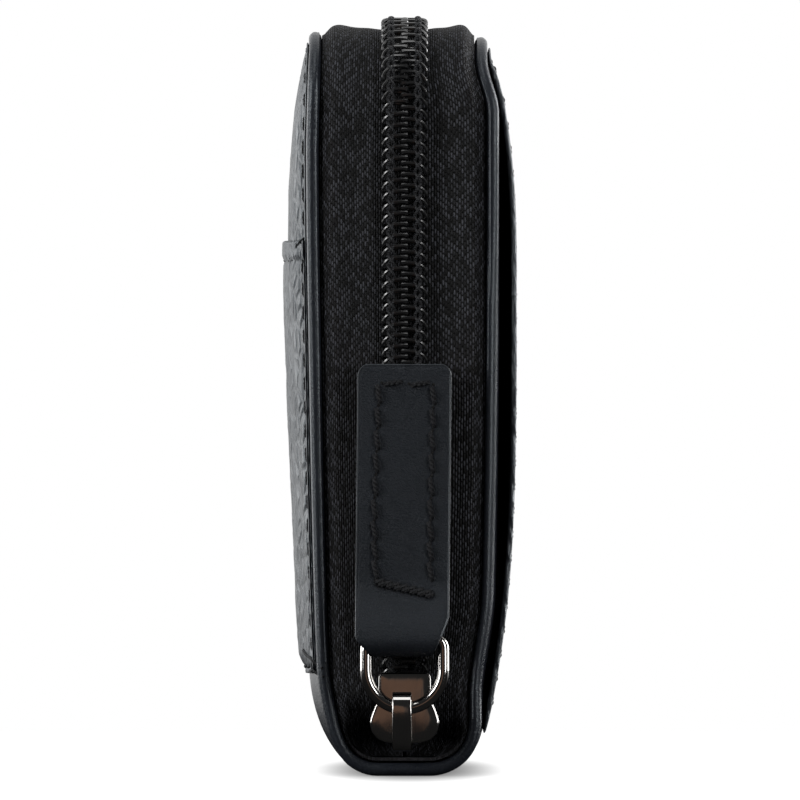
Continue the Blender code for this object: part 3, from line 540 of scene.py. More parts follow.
@dataclass(frozen=True)
class Cloth(Look):
    """Woven cloth: rows of staggered threads that float over the weave, each a short raised stroke."""

    bright: tuple[float, float, float]
    thread: float
    float_length: float
    depth: float
    roughness: float = 0.7
    band: float = 3.1 * MM
    slant: float = 0.36
    loose: float = 0.4

    def paint(self, graph: Graph) -> None:
        """Weave the threads from the piece's own UV map, u along the threads and v across them."""
        along, across = graph.uv()
        wander = graph.noise(2.2 * MM, 2.0)
        rib = across * (1 / self.thread) + self.loose * wander
        column = rib.math("FLOOR")
        swing = (column * (self.thread / self.band)).math("PINGPONG", 1.0)
        lean = swing * (self.band / self.thread * self.slant)
        step = along * (1 / self.float_length) + lean + 1.2 * self.loose * wander
        cell = graph.node("ShaderNodeCombineXYZ", inputs={0: column, 1: step.math("FLOOR")})
        tint = graph.node("ShaderNodeTexWhiteNoise", {"noise_dimensions": "2D"}, {"Vector": cell})
        beside, ahead = rib.math("FRACT") * math.pi, step.math("FRACT") * math.pi
        body = beside.math("SINE").math("POWER", 0.8) * ahead.math("SINE").math("POWER", 0.45)
        fibre = graph.noise(0.12 * MM, 3.0)
        # Painted light in the colour: brightest on the crown of each float and black where the threads meet,
        # a painted highlight on the floats and painted shade between them; tint and fibre vary it at random.
        lit = body * (0.25 + 0.85 * tint) * (0.5 + fibre)
        graph.set(
            Base_Color=graph.shade(lit.clamped(0.2, 1.05), self.colour, self.bright),
            Roughness=self.roughness,
            Normal=graph.relief(body * (0.6 + 0.4 * tint) + 0.15 * fibre, self.depth),
            Specular_IOR_Level=0.2,
        )


@dataclass(frozen=True)
class Thread(Look):
    """Twisted sewing thread: slanting strands, read from how far along and round the stitch a point is."""

    bright: tuple[float, float, float]
    ply: float = 0.5 * MM

    def paint(self, graph: Graph) -> None:
        """Twist the strands and give them a little fuzz."""
        along, around = graph.uv()
        strand = ((along * (1 / self.ply) + around * 2.0).math("FRACT") * math.pi).math("SINE")
        fuzz = graph.noise(0.12 * MM, 3.0)
        # The colour is darker in the grooves between the twisted strands, a painted shade there; fuzz varies
        # it at random.
        graph.set(
            Base_Color=graph.shade(strand * (0.6 + 0.6 * fuzz), self.colour, self.bright),
            Roughness=0.6,
            Normal=graph.relief(strand + 0.2 * fuzz, 0.08 * MM),
            Specular_IOR_Level=0.25,
        )


@dataclass(frozen=True)
class Nylon(Look):
    """Moulded nylon filament, slightly uneven in gloss."""

    roughness: float
    shine: float

    def paint(self, graph: Graph) -> None:
        """Lay a haze over the filament, which lightens and dulls it in patches."""
        haze = graph.noise(0.9 * MM, 4.0)
        tone = tuple(1.9 * part for part in self.colour)
        graph.set(
            Base_Color=graph.shade(haze, self.colour, tone),
            Roughness=(self.roughness - 0.05) + 0.14 * haze,
            Normal=graph.relief(haze, 0.012 * MM),
            Specular_IOR_Level=self.shine,
        )


@dataclass(frozen=True)
class Metal(Look):
    """Polished dark plating with fine wear."""

    bright: tuple[float, float, float]
    roughness: float

    def paint(self, graph: Graph) -> None:
        """Cloud the plating and draw slanting marks on it."""
        cloud = graph.noise(2.2 * MM, 5.0)
        marks = graph.noise(0.5 * MM, 5.0, graph.place((1, 1, 0.15), 0.4))
        graph.set(
            Base_Color=graph.shade(cloud, self.colour, self.bright),
            Metallic=1.0,
            Roughness=(self.roughness - 0.03) + 0.09 * marks,
            Normal=graph.relief(marks + 0.5 * cloud, 0.006 * MM),
        )


class Finish(Enum):
    """The wallet's finishes."""

    SHELL = Leather(
        "shell_leather", "smooth_leather", (0.009, 0.0105, 0.014), (0.015, 0.0175, 0.023), roughness=0.31,
        grain=Grain.SMOOTH, grain_size=0.7 * MM, grain_depth=0.04 * MM, shine=0.38,
    )
    PEBBLED = Leather(
        "pebbled_cowhide", "pebbled_leather", (0.009, 0.0105, 0.013), (0.019, 0.022, 0.027), roughness=0.42,
        grain=Grain.PEBBLED, grain_size=1.3 * MM, grain_depth=0.16 * MM, shine=0.7, tall=2.4,
    )
    PULL = Leather(
        "pull_cowhide", "pull_leather", (0.005, 0.006, 0.0085), (0.0095, 0.0112, 0.0148), roughness=0.42,
        grain=Grain.SMOOTH, grain_size=0.45 * MM, grain_depth=0.1 * MM, shine=0.25,
    )
    CARD = Leather(
        "card_calf", "card_leather", (0.009, 0.01, 0.013), (0.017, 0.019, 0.023), roughness=0.42,
        grain=Grain.SMOOTH, grain_size=0.6 * MM, grain_depth=0.02 * MM,
    )
    TAPE = Cloth(
        "zip_tape_twill", "woven_tape", (0.0005, 0.0005, 0.0006), (0.049, 0.051, 0.06),
        thread=0.31 * MM, float_length=0.84 * MM, depth=0.26 * MM,
    )
    LINING = Cloth(
        "lining_faille", "lining_cloth", (0.003, 0.003, 0.004), (0.016, 0.016, 0.02), thread=0.28 * MM,
        float_length=0.6 * MM, depth=0.05 * MM, roughness=0.6, band=50 * MM, slant=0.0, loose=0.1,
    )
    COIL = Nylon("coil_nylon", "nylon", (0.003, 0.0031, 0.0035), roughness=0.27, shine=1.0)
    SEAM = Thread("sewing_thread", "pebbled_leather", (0.0012, 0.0012, 0.0015), (0.011, 0.012, 0.0145))
    BRAID = Thread("coil_thread", "woven_tape", (0.004, 0.004, 0.0045), (0.021, 0.022, 0.025), ply=0.35 * MM)
    # Lighter than the pull: the edge paint's own worn grey, and a painted highlight where the edge catches
    # the light.
    PAINT = Leather(
        "edge_paint", "pull_leather", (0.014, 0.016, 0.019), (0.035, 0.039, 0.044), roughness=0.34,
        grain=Grain.SMOOTH, grain_size=0.3 * MM, grain_depth=0.02 * MM,
    )
    # Near black: painted shade in the needle holes.
    HOLE = Thread("needle_hole", "pull_leather", (0.0003, 0.0003, 0.0003), (0.0008, 0.0008, 0.0008))
    GUNMETAL = Metal("gunmetal", "gunmetal", (0.36, 0.35, 0.335), (0.48, 0.465, 0.45), roughness=0.08)


class Wardrobe:
    """Dresses pieces: makes each finish's material once and gives it to whatever asks for it."""

    def __init__(self) -> None:
        """Start with no material made."""
        self.made: dict[Finish, bpy.types.Material] = {}

    def material(self, finish: Finish) -> bpy.types.Material:
        """The finish's material, made at its first use."""
        if finish not in self.made:
            self.made[finish] = finish.value.material()
        return self.made[finish]

    def dress(
        self, piece: bpy.types.Object, finish: Finish, body: str | None, *nodes: str
    ) -> bpy.types.Object:
        """Give a piece its material, let it ride on a body, and hide the CAD nodes it stands for.

        Args:
            piece: The new piece.
            finish: Its finish.
            body: The CAD body it moves with, or None to leave it unattached.
            nodes: CAD nodes that it replaces.

        Returns:
            The piece.
        """
        piece.data.materials.append(self.material(finish))
        if nodes:
            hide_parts(*nodes)
        if body:
            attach(piece, body)
        LOG.info("%s: %d faces, %s", piece.name, len(piece.data.polygons), finish.value.name)
        return piece

    def paint(self, node: str, finish: Finish) -> None:
        """Give a CAD node that stays in view a better material."""
        frame["nodes"][node].material_slots[0].material = self.material(finish)
        LOG.info("%s: kept from the CAD, %s", node, finish.value.name)


WARDROBE = Wardrobe()


# The covers' walls

def joint_place(name: str) -> list[float]:
    """Where a joint of the CAD frame stands."""
    return next(joint["pos_m"] for joint in frame["joints"] if joint["name"] == name)


@dataclass(frozen=True)
class Side:
    """One cover's side: its outer face, and how its fold and top run."""

    body: str
    sign: int
    flat: float
    rise: float
    splay: float
    lean: float
    slant: float
    tucks: tuple[tuple[float, float], ...]

    @property
    def face(self) -> float:
        """How far out the cover's face is."""
        low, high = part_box(f"{self.body}_cover")
        return high.x if self.sign > 0 else -low.x

    @property
    def top(self) -> float:
        """The cover's highest point."""
        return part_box(f"{self.body}_cover")[1].z

    @property
    def hinge(self) -> tuple[float, float]:
        """x and z of the fold's axis."""
        x, _, z = joint_place(f"{self.body}_cover_open")
        return x, z

    def wall(self, z: Array, depth: Array | float) -> Array:
        """x of the surface that lies this deep inside the outer face.

        The fold is a quarter ellipse from the spine's flat up to the wall. Above it the wall splays out until
        it is straight, and at the top it leans in again.
        """
        below = np.clip((self.rise - z) / (self.rise - depth), 0.0, 1.0)
        reach = (self.face - self.splay - self.flat - depth) * np.sqrt(1 - below * below)
        splay = self.splay * ease((z - 5 * MM) / (19 * MM))
        lean = self.lean * ease((z - self.top + 10 * MM) / (7 * MM))
        return self.sign * (self.flat + reach + splay - lean)

    def tuck(self, y: Array, z: Array) -> Array:
        """Shift in x of the near and far ends, which are drawn inwards where the leather folds.

        The depth at each height is read off between (height, depth) pairs in millimetres. It dies away over
        11 mm along the wallet.
        """
        heights, depths = np.array(self.tucks).T * MM
        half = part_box("spine_panel")[1].y
        return -self.sign * np.interp(z, heights, depths) * (1 - ease((half - np.abs(y)) / (11 * MM)))

    def tucked(self, y: Array, z: Array, depth: Array | float) -> Array:
        """x of the surface this deep inside the outer face, its ends drawn inwards."""
        return self.wall(z, depth) + self.tuck(y, z)


FRONT_TUCKS = (
    (1.5, 0.0), (4, 0.5), (7, 1.0), (10, 1.2), (14, 1.1), (20, 0.85), (28, 0.6), (42, 0.25), (56, 0.0),
    (70, -0.25), (82, -0.36), (92, -0.1), (97, 0.1),
)
REAR_TUCKS = ((2, 0.0), (8, 0.4), (12, 0.85), (17, 0.85), (25, 0.55), (40, 0.2), (56, 0.0))
FRONT = Side(
    "front", -1, flat=3.0 * MM, rise=15.0 * MM, splay=0.0, lean=0.0, slant=0.0, tucks=FRONT_TUCKS
)
REAR = Side(
    "rear", 1, flat=3.9 * MM, rise=7.5 * MM, splay=2.0 * MM, lean=1.5 * MM, slant=0.42 * MM, tucks=REAR_TUCKS
)


@dataclass(frozen=True)
class Outline:
    """An oblong in y and z with rounded corners at the top and at the foot."""

    half: float
    bottom: float
    top: float
    top_radius: float
    foot_radius: float

    def inset(self, z: Array) -> Array:
        """How much narrower than its full half width the oblong is at each height.

        In a corner of radius r, a height d past the start of its arc, that is r - sqrt(r^2 - d^2).
        """
        high = np.clip(z - (self.top - self.top_radius), 0, self.top_radius)
        low = np.clip(self.bottom + self.foot_radius - z, 0, self.foot_radius)
        upper = self.top_radius - np.sqrt(np.maximum(self.top_radius**2 - high**2, 0))
        lower = self.foot_radius - np.sqrt(np.maximum(self.foot_radius**2 - low**2, 0))
        return upper + lower

    def edge(self, y: Array, z: Array) -> Array:
        """Distance from the nearest point of the outline, inside it."""
        best = np.minimum(self.half - np.abs(y), np.minimum(self.top - z, z - self.bottom))
        for radius, over in (
            (self.top_radius, z - (self.top - self.top_radius)),
            (self.foot_radius, self.bottom + self.foot_radius - z),
        ):
            across = np.abs(y) - (self.half - radius)
            corner = radius - np.hypot(across, over)
            best = np.where((across > 0) & (over > 0), corner, best)
        return np.maximum(best, 0.0)

    def row_places(self, z: Array, stations: Array, columns: int) -> Array:
        """y (rows, columns) at each height: at the stations in from both edges, and evenly between them."""
        width = (self.half - self.inset(z))[:, None]
        inside = np.linspace(-1, 1, columns)[None, 1:-1] * (width - stations[-1])
        return np.concatenate([-width + stations, inside, (width - stations)[:, ::-1]], axis=1)

    def grid(self, stations: Array, rows: int, columns: int) -> tuple[Array, Array]:
        """Points for a sheet of this outline.

        Args:
            stations: Distances from the edge, from 0 up, at which the sheet needs points.
            rows: Rows over the middle part.
            columns: Columns over the middle part.

        Returns:
            y and z, each (rows, columns), closer together towards the edges and round the corners.
        """
        turn = np.linspace(0, QUARTER, 13)
        arc_top = self.top - self.top_radius * (1 - np.sin(turn))
        arc_foot = self.bottom + self.foot_radius * (1 - np.sin(turn))
        short = stations[stations < 3 * MM]
        body = np.linspace(self.bottom + short[-1], self.top - short[-1], rows)
        z = np.sort(np.concatenate([self.bottom + short, self.top - short, body, arc_top, arc_foot]))
        z = z[np.concatenate([[True], np.diff(z) > 0.03 * MM])]
        y = self.row_places(z, stations, columns)
        return y, np.broadcast_to(z[:, None], y.shape)

    def seam(self, inset: float) -> Array:
        """A line (N, 2) of y and z round the oblong from its near foot, this far inside its edge."""
        corners = []
        for sign_y, height, radius, first in (
            (-1, self.top, self.top_radius, math.pi),
            (1, self.top, self.top_radius, QUARTER),
            (1, self.bottom, self.foot_radius, 0.0),
            (-1, self.bottom, self.foot_radius, -QUARTER),
        ):
            turn = first - np.linspace(0, QUARTER, 12)
            sign_z = 1 if height == self.top else -1
            reach = max(radius - inset, 0.2 * MM)
            y = sign_y * (self.half - inset - reach) + reach * np.cos(turn)
            z = height - sign_z * (inset + reach) + reach * np.sin(turn)
            corners.append(paired(y, z))
        line = np.concatenate(corners)
        return np.concatenate([line, line[:1]])


def rolled(edge: Array, radius: float) -> Array:
    """Share of a sheet's thickness at a distance d from its edge: sqrt(1 - (1 - d/r)^2), a half round."""
    share = 1 - np.clip(edge / radius, 0, 1)
    return np.maximum(np.sqrt(1 - share**2), THINNEST)


def stitches(
    sink: Surface, places: Array, ahead: Array, out: Array, length: float, radius: float, slant: float = 0.0
) -> None:
    """Add stitches: two strands twisted round each other on an arch that dips into the leather at both ends.

    The arch stands off by r (0.7 - 1.7 t^4) for t from -1 to 1. Each strand circles it at half the radius,
    two turns long, and narrows towards both ends by sqrt(1 - 0.75 t^4).

    Args:
        sink: The surface to add to.
        places: Middles of the stitches (M, 3), on the leather.
        ahead: Directions of the seam (M, 3).
        out: Direction away from the leather (3,).
        length: Length of a stitch.
        radius: Radius of the thread.
        slant: Turn of each stitch across the seam, in radians.
    """
    side = np.cross(out, ahead)
    ahead = unit(ahead * math.cos(slant) + side * math.sin(slant))
    side = unit(np.cross(out, ahead))
    reach = np.linspace(-1, 1, 13)
    lift = radius * (0.7 - 1.7 * reach**4)
    narrow = np.sqrt(1 - 0.75 * reach**4)
    for start in (0.0, math.pi):
        turn = start + TURN * reach
        line = (
            places[:, None, :]
            + ahead[:, None, :] * (reach * length / 2)[:, None]
            + out * (lift + 0.5 * radius * narrow * np.cos(turn))[:, None]
            + side[:, None, :] * (0.55 * radius * narrow * np.sin(turn))[:, None]
        )
        sink.tubes(line, out, 0.62 * radius * narrow, 6)


# The shell

@dataclass
class Shell:
    """The smooth leather shell, in two halves that bend from the spine into the front and the rear cover."""

    thickness: float = 1.7 * MM
    corner: float = 10.6 * MM
    seam_x: float = 0.45 * MM
    bend: float = 1.7 * MM
    welt: float = 0.17 * MM

    def section(self, side: Side, depth: float) -> Array:
        """The shell's line (N, 2) in x and z at one depth: along the flat, round the fold and up the wall."""
        flat = np.linspace(self.seam_x, side.sign * side.flat, 3)[:-1]
        turn = np.linspace(QUARTER, 0, 22)
        round_z = side.rise - (side.rise - depth) * np.sin(turn)
        wall_z = np.concatenate([
            np.linspace(side.rise, 24 * MM, 9)[1:],
            np.linspace(24 * MM, side.top - self.corner, 16)[1:-1],
            side.top - self.corner * (1 - np.sin(np.linspace(0, 0.93, 16) * QUARTER)),
            side.top - np.array([0.05, 0.03, 0.015, 0.0]) * self.corner * 0.1,
        ])
        z = np.concatenate([np.full(len(flat), depth), round_z, wall_z])
        x = np.concatenate([flat, side.wall(z[len(flat):], depth)])
        return paired(x, z)

    def half(self, side: Side) -> bpy.types.Object:
        """One half of the shell, with rolled edges: thickness times the half round's share at each point.

        Where the rim slants, the outer face stops short of the inner one by twice the slant.
        """
        outer, inner = self.section(side, 0.0), self.section(side, self.thickness)
        roll = self.thickness / 2
        stations = roll * np.array([0.0, 0.04, 0.15, 0.34, 0.62, 1.0])
        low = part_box("spine_panel")[0].z
        outline = Outline(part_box("spine_panel")[1].y, low, side.top, self.corner, 0.0)
        y = outline.row_places(outer[:, 1], stations, 34)
        high = np.broadcast_to(outer[:, 1:], y.shape)
        edge = outline.edge(y, np.maximum(high, low + 12 * MM))
        share = rolled(edge, roll)[..., None]
        faces = [xyz(line[:, None, 0], y, line[:, None, 1]) for line in (outer, inner)]
        middle, reach = (faces[0] + faces[1]) / 2, (faces[0] - faces[1]) / 2
        uneven = side.tuck(y, high) + side.sign * 0.07 * MM * ripple(y, high, 9 * MM) * ease(edge / (3 * MM))
        middle = middle + xyz(uneven, 0.0, 0.0)
        tall = ease((high - 8 * MM) / (8 * MM)) * (1 - ease((high - 60 * MM) / (14 * MM)))
        slant = side.slant * tall * (1 - ease(edge / (6 * MM))) * np.sign(-y)
        reach = (reach + xyz(0.0, slant, 0.0)) * share
        return Surface().skin(middle + reach, middle - reach).build(f"{side.body}_shell_leather")

    def welts(self, side: Side) -> bpy.types.Object:
        """The turned edge that runs round the inner corner of the cover's rim, as a thin strand."""
        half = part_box("spine_panel")[1].y - 0.09 * MM
        top = side.top - 0.2 * MM
        rise = np.linspace(side.rise, side.top - self.corner, 60)
        turn = np.linspace(0, QUARTER, 14)[1:]
        y = np.concatenate([np.full(len(rise), -half), -half + self.corner * (1 - np.cos(turn))])
        z = np.concatenate([rise, top - self.corner * (1 - np.sin(turn))])
        run = np.linspace(y[-1], -y[-1], 60)[1:-1]
        y = np.concatenate([y, run, -y[::-1]])
        z = np.concatenate([z, np.full(len(run), top), z[::-1]])
        line = xyz(side.tucked(y, z, self.thickness - 0.45 * MM), y, z)
        return Surface().tubes(line[None], X_AXIS, self.welt, 8).build(f"{side.body}_turned_edge")

    def build(self) -> None:
        """Make both halves, which meet under the middle of the spine."""
        for side in (FRONT, REAR):
            nodes = [f"{side.body}_cover"] + (["spine_panel"] if side is FRONT else [])
            piece = WARDROBE.dress(self.half(side), Finish.SHELL, None, *nodes)
            x, z = side.hinge
            turn = math.asin(min((side.rise - z) / (side.rise - self.thickness / 2), 1.0))
            reach = side.sign * (side.face - side.flat)
            run = np.array([reach * math.sin(turn), 0.0, side.rise * math.cos(turn)])
            run *= self.bend / np.linalg.norm(run)
            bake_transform(piece)
            WARDROBE.dress(self.welts(side), Finish.SHELL, side.body)


# Outer panels and pockets

@dataclass
class FrontPanel:
    """The pebbled panel with its crown, the slip pocket over its lower part, and the seams through both."""

    ramp: float = 9.0 * MM
    rim: float = 0.3 * MM
    pocket: float = 0.5 * MM
    hem: float = 2.6 * MM
    seam: float = 0.85 * MM

    @property
    def outline(self) -> Outline:
        """The panel's outline."""
        low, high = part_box("front_panel")
        return Outline(high.y, low.z, high.z, PANEL_CORNER, 2.0 * MM)

    @property
    def pocket_top(self) -> float:
        """Height of the pocket's opening."""
        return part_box("front_pocket")[1].z

    def profile(self, z: Array) -> Array:
        """How far the outermost leather stands off the cover, half way along the wallet, at each height.

        Below the pocket's opening it grows from the foot by a power curve, and above it falls to the top by
        another.
        """
        under = 3.0 - 1.9 * (np.clip((63 * MM - z) / (46.5 * MM), 0, 1.1)) ** 1.25
        above = 2.68 - 2.45 * (np.clip((z - 71 * MM) / (25 * MM), 0, 1)) ** 2.2
        return MM * np.where(z > self.pocket_top, above, under)

    def stand_off(self, y: Array, z: Array, full: Array) -> Array:
        """Stand-off of a face: from the skived rim by 1 - (1 - t)^p to its full height, creased on the way.

        The power p grows from 2 to 3.4 towards the top, where the leather turns away sooner. At the foot,
        where the seam presses it down, the leather eases back to the skived rim.
        """
        inward = self.outline.half - self.outline.inset(z) - np.abs(y)
        power = 2 + 1.4 * ease((z - 58 * MM) / (30 * MM))
        share = 1 - (1 - np.clip((inward - 0.5 * MM) / self.ramp, 0, 1)) ** power
        edge = self.outline.edge(y, z)
        uneven = 0.07 * MM * ripple(y, z, 7 * MM) * ease(edge / (4 * MM))
        creased = 0.36 * MM * (wrinkles(y, z) - 0.6) * ease((edge - 0.9 * MM) / (1.6 * MM))
        share = share * ease((z - self.outline.bottom - 0.3 * MM) / (2.4 * MM))
        return self.rim + np.maximum(full - self.rim, 0) * share + uneven + creased

    def panel_off(self, y: Array, z: Array) -> Array:
        """Stand-off of the panel's face, which dips under the pocket."""
        above = z - self.pocket_top
        under = (self.pocket + 0.1 * MM) * (1 - ease((above + 1.5 * MM) / (1.5 * MM)))
        dip = np.where(above > 0, 0.0, 0.35 * MM * ease((above + 3 * MM) / (3 * MM)))
        return self.stand_off(y, z, self.profile(z) - dip - under)

    def pocket_off(self, y: Array, z: Array) -> Array:
        """Stand-off of the pocket's face, with its turned hem."""
        hem = 0.2 * MM * ease((z - self.pocket_top + self.hem) / (0.5 * MM))
        furrow = 0.14 * MM * bump(z, self.pocket_top - self.hem, 0.35 * MM)
        low = np.minimum(z, self.pocket_top)
        return self.stand_off(y, z, self.profile(low)) + 0.2 * MM + hem - furrow

    def wall(self, y: Array, z: Array) -> Array:
        """x of the cover's face under the panel."""
        return FRONT.tucked(y, z, 0.0)

    def outer_x(self, y: Array, z: Array) -> Array:
        """x of the outermost leather, whether panel or pocket."""
        return self.wall(y, z) - np.where(z > self.pocket_top, self.panel_off(y, z), self.pocket_off(y, z))

    def groove(self, edge: Array) -> Array:
        """Depth of the furrow that the perimeter seam pulls into the leather."""
        return 0.16 * MM * bump(edge, self.seam, 0.3 * MM)

    def leather(self) -> None:
        """Build panel and pocket as two sheets with rolled edges."""
        outline = self.outline
        stations = np.array([0, 0.03, 0.1, 0.22, 0.4, 0.6, 0.8, 1.0, 1.2, 1.5, 1.9, 2.3])
        stations = np.concatenate([stations, np.arange(2.7, 14, 0.4)]) * MM
        y, z = outline.grid(stations, 130, 60)
        edge = outline.edge(y, z)
        wall = self.wall(y, z)
        face = wall - self.panel_off(y, z) + self.groove(edge)
        self.sheet("front_pebbled_panel", y, z, wall, face, edge, "front_panel")
        low = Outline(outline.half, outline.bottom, self.pocket_top, 0.0, outline.foot_radius)
        y, z = low.grid(stations, 100, 60)
        wall, seam = self.wall(y, z), self.groove(outline.edge(y, z))
        under = wall - self.panel_off(y, z) + seam - 0.04 * MM
        face = wall - self.pocket_off(y, z) + seam
        self.sheet("front_slip_pocket", y, z, under, face, low.edge(y, z), "front_pocket")

    def sheet(
        self, name: str, y: Array, z: Array, back: Array, face: Array, edge: Array, node: str
    ) -> None:
        """Close one leather sheet between its back and its face, and dress it."""
        piece = leaf(face, back, y, z, rolled(edge, PANEL_EDGE)).build(name)
        WARDROBE.dress(piece, Finish.PEBBLED, "front", node)

    def seams(self) -> None:
        """Sew the perimeter, the pocket's hem, and the wrapped stitches at the foot of both ends."""
        sink = Surface()
        self.sew(sink, self.outline.seam(self.seam))
        self.wrap(sink)
        run = self.outline.half - 2.4 * MM
        self.sew(sink, paired(np.linspace(-run, run, 3), self.pocket_top - self.hem))
        WARDROBE.dress(sink.build("front_seams"), Finish.SEAM, "front")

    def sew(self, sink: Surface, line: Array) -> None:
        """Lay stitches along a line of y and z on the outermost leather."""
        places, ahead = even_places(line, SEAM_PITCH)
        y, z = places.T
        x = self.outer_x(y, z)
        step = 0.2 * MM
        slope = (self.outer_x(y + ahead[:, 0] * step, z + ahead[:, 1] * step) - x) / step
        direction = unit(xyz(np.clip(slope, -1, 1), ahead[:, 0], ahead[:, 1]))
        stitches(sink, xyz(x + 0.24 * MM, y, z), direction, -X_AXIS, STITCH, 0.18 * MM, 0.1)

    def wrap(self, sink: Surface) -> None:
        """Wrap threads round the foot of each end, over the face and down the rim to the shell.

        Each thread is given in millimetres: (inset, height) on the face, then (stand-off, height) on the rim.
        """
        half = self.outline.half
        faces = (
            ((5.2, 16.4), (3.4, 15.8), (1.6, 15.5), (0.4, 15.2)),
            ((2.6, 13.75), (1.4, 13.7), (0.4, 13.8)),
        )
        rims = (((0.22, 14.9), (-0.2, 14.5), (-0.7, 14.1)), ((0.22, 13.6), (-0.2, 13.3), (-0.8, 13.0)))
        for end in (-1, 1):
            for face, rim in zip(faces, rims):
                inset, height = np.array(face).T * MM
                y = end * (half - inset)
                over = xyz(self.outer_x(y, height) - 0.06 * MM, y, height)
                off, height = np.array(rim).T * MM
                y = end * (half + 0.1 * MM) + end * np.array([0.0, 0.3, 1.35]) * MM
                down = xyz(self.wall(y, height) - off, y, height)
                line = np.concatenate([over, down])
                at = np.linspace(0, len(line) - 1, 25)
                line = smoothed(sampled(line, np.arange(len(line)), at), 1)
                sink.tubes(line[None], np.array([0.3, 0.2, 1.0]), 0.2 * MM, 8)

    def build(self) -> None:
        """Make the panel, the pocket and their seams."""
        self.leather()
        self.seams()


@dataclass
class RearPocket:
    """The bowed outer layer on the rear: sewn at its top, bottom and far side, open at the near side."""

    thickness: float = 0.7 * MM
    skived: float = 0.32 * MM
    bow_height: float = 60.0 * MM
    fall_above: float = 4.06 * MM
    fall_under: float = 3.69 * MM
    seam: float = 1.8 * MM
    hem: float = 3.0 * MM

    @property
    def outline(self) -> Outline:
        """The pocket's outline."""
        low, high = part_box("rear_pocket")
        return Outline(high.y, low.z, high.z, PANEL_CORNER, 0.0)

    def inner_x(self, y: Array, z: Array) -> Array:
        """x of the pocket's inner face.

        At the near edge it bows out to its highest point and falls by a power curve of the height above and
        below that. Where this would cut into the cover it lies on the cover. The bow dies away towards the
        far edge.
        """
        outline = self.outline
        above = np.clip((z - self.bow_height) / (outline.top + 1.2 * MM - self.bow_height), 0, 1.2)
        under = np.clip((self.bow_height - z) / (self.bow_height - 7.3 * MM), 0, 1.1)
        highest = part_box("rear_pocket")[1].x - self.thickness
        bowed = highest - self.fall_above * above**3.4 - self.fall_under * under**3.2
        against = REAR.tucked(np.maximum(y, 0), z, 0.0) + 0.08 * MM
        along = 1 - ease((y + outline.half) / (2 * outline.half))
        lift = bowed - against
        lift = (lift + np.sqrt(lift * lift + (0.12 * MM) ** 2)) / 2
        return against + lift * along

    def thinned(self, z: Array) -> Array:
        """How much thinner the skived leather is, near the pocket's top and its foot."""
        near = np.minimum(self.outline.top - z, 1.25 * (z - self.outline.bottom))
        return (self.thickness - self.skived) * (1 - ease(near / (5 * MM)))

    def build(self) -> None:
        """Make the pocket with its hem at the opening, and sew it."""
        outline = self.outline
        steps = [0, 0.02, 0.08, 0.2, 0.4, 0.8, 1.3, 1.6, 1.8, 2.0, 2.4, 2.7, 3.0, 3.3, 3.8]
        y, z = outline.grid(np.array(steps) * MM, 90, 70)
        edge = outline.edge(y, z)
        inner = self.inner_x(y, z)
        opening = 1 - ease((y + outline.half - 4 * MM) / (2 * MM))
        sewn, hemmed = (bump(edge, place, 0.42 * MM) for place in (self.seam, self.hem))
        groove = 0.16 * MM * (sewn * (1 - opening) + hemmed * opening)
        uneven = 0.08 * MM * ripple(y, z, 8 * MM) * ease(edge / (4 * MM))
        creased = 0.1 * MM * (wrinkles(y, z) - 0.6) * ease(edge / (5 * MM))
        face = inner + self.thickness - self.thinned(z) - groove + uneven + creased
        piece = leaf(face, inner, y, z, rolled(edge, PANEL_EDGE)).build("rear_slip_pocket")
        WARDROBE.dress(piece, Finish.PEBBLED, "rear", "rear_pocket")
        sink = Surface()
        line = outline.seam(self.seam)
        line = line[line[:, 0] > -outline.half + 3 * MM]
        ends = np.array([outline.bottom + 3 * MM, outline.top - 6 * MM])
        for part in (line[:-1], paired(-outline.half + self.hem, ends)):
            places, ahead = even_places(part, SEAM_PITCH)
            y, z = places.T
            x = self.inner_x(y, z) + self.thickness - self.thinned(z) - 0.26 * MM
            direction = xyz(0.0, ahead[:, 0], ahead[:, 1])
            stitches(sink, xyz(x, y, z), direction, X_AXIS, STITCH, 0.2 * MM, 0.16)
        WARDROBE.dress(sink.build("rear_seams"), Finish.SEAM, "rear")


# The zip

class ZipPath:
    """The zip's line: up the near side, round a corner, along the top, and down the far side."""

    def __init__(self, half: float, low: float, high: float, radius: float) -> None:
        """Hold the line's half width, its lower ends, its top and the radius of its corners."""
        self.half, self.low, self.radius = half, low, radius
        self.rise = high - radius - low
        self.bend = QUARTER * radius
        self.run = 2 * (half - radius)
        self.length = 2 * self.rise + 2 * self.bend + self.run

    def frame(self, s: Array) -> tuple[Array, Array]:
        """Points (N, 3) at x = 0, and outward normals, at distances s along the line."""
        past = s - self.rise - self.bend
        bent = np.clip(s - self.rise, 0, self.bend) + np.clip(past - self.run, 0, self.bend)
        angle = math.pi - bent / self.radius
        along = np.clip(past, 0, self.run)
        down = np.maximum(past - self.run - self.bend, 0)
        up = np.minimum(s, self.rise)
        y = -self.half + self.radius + self.radius * np.cos(angle) + along
        z = self.low + up - down + self.radius * np.sin(angle)
        return xyz(0.0, y, z), xyz(0.0, np.cos(angle), np.sin(angle))


@dataclass(frozen=True)
class StraightPath:
    """A zip's line along y, from a start, at one height."""

    start: float
    height: float

    def frame(self, s: Array) -> tuple[Array, Array]:
        """Points (N, 3) at x = 0, and outward normals, at distances s along the line."""
        return xyz(0.0, self.start + s, self.height), xyz(0.0, np.zeros_like(s), 1.0)


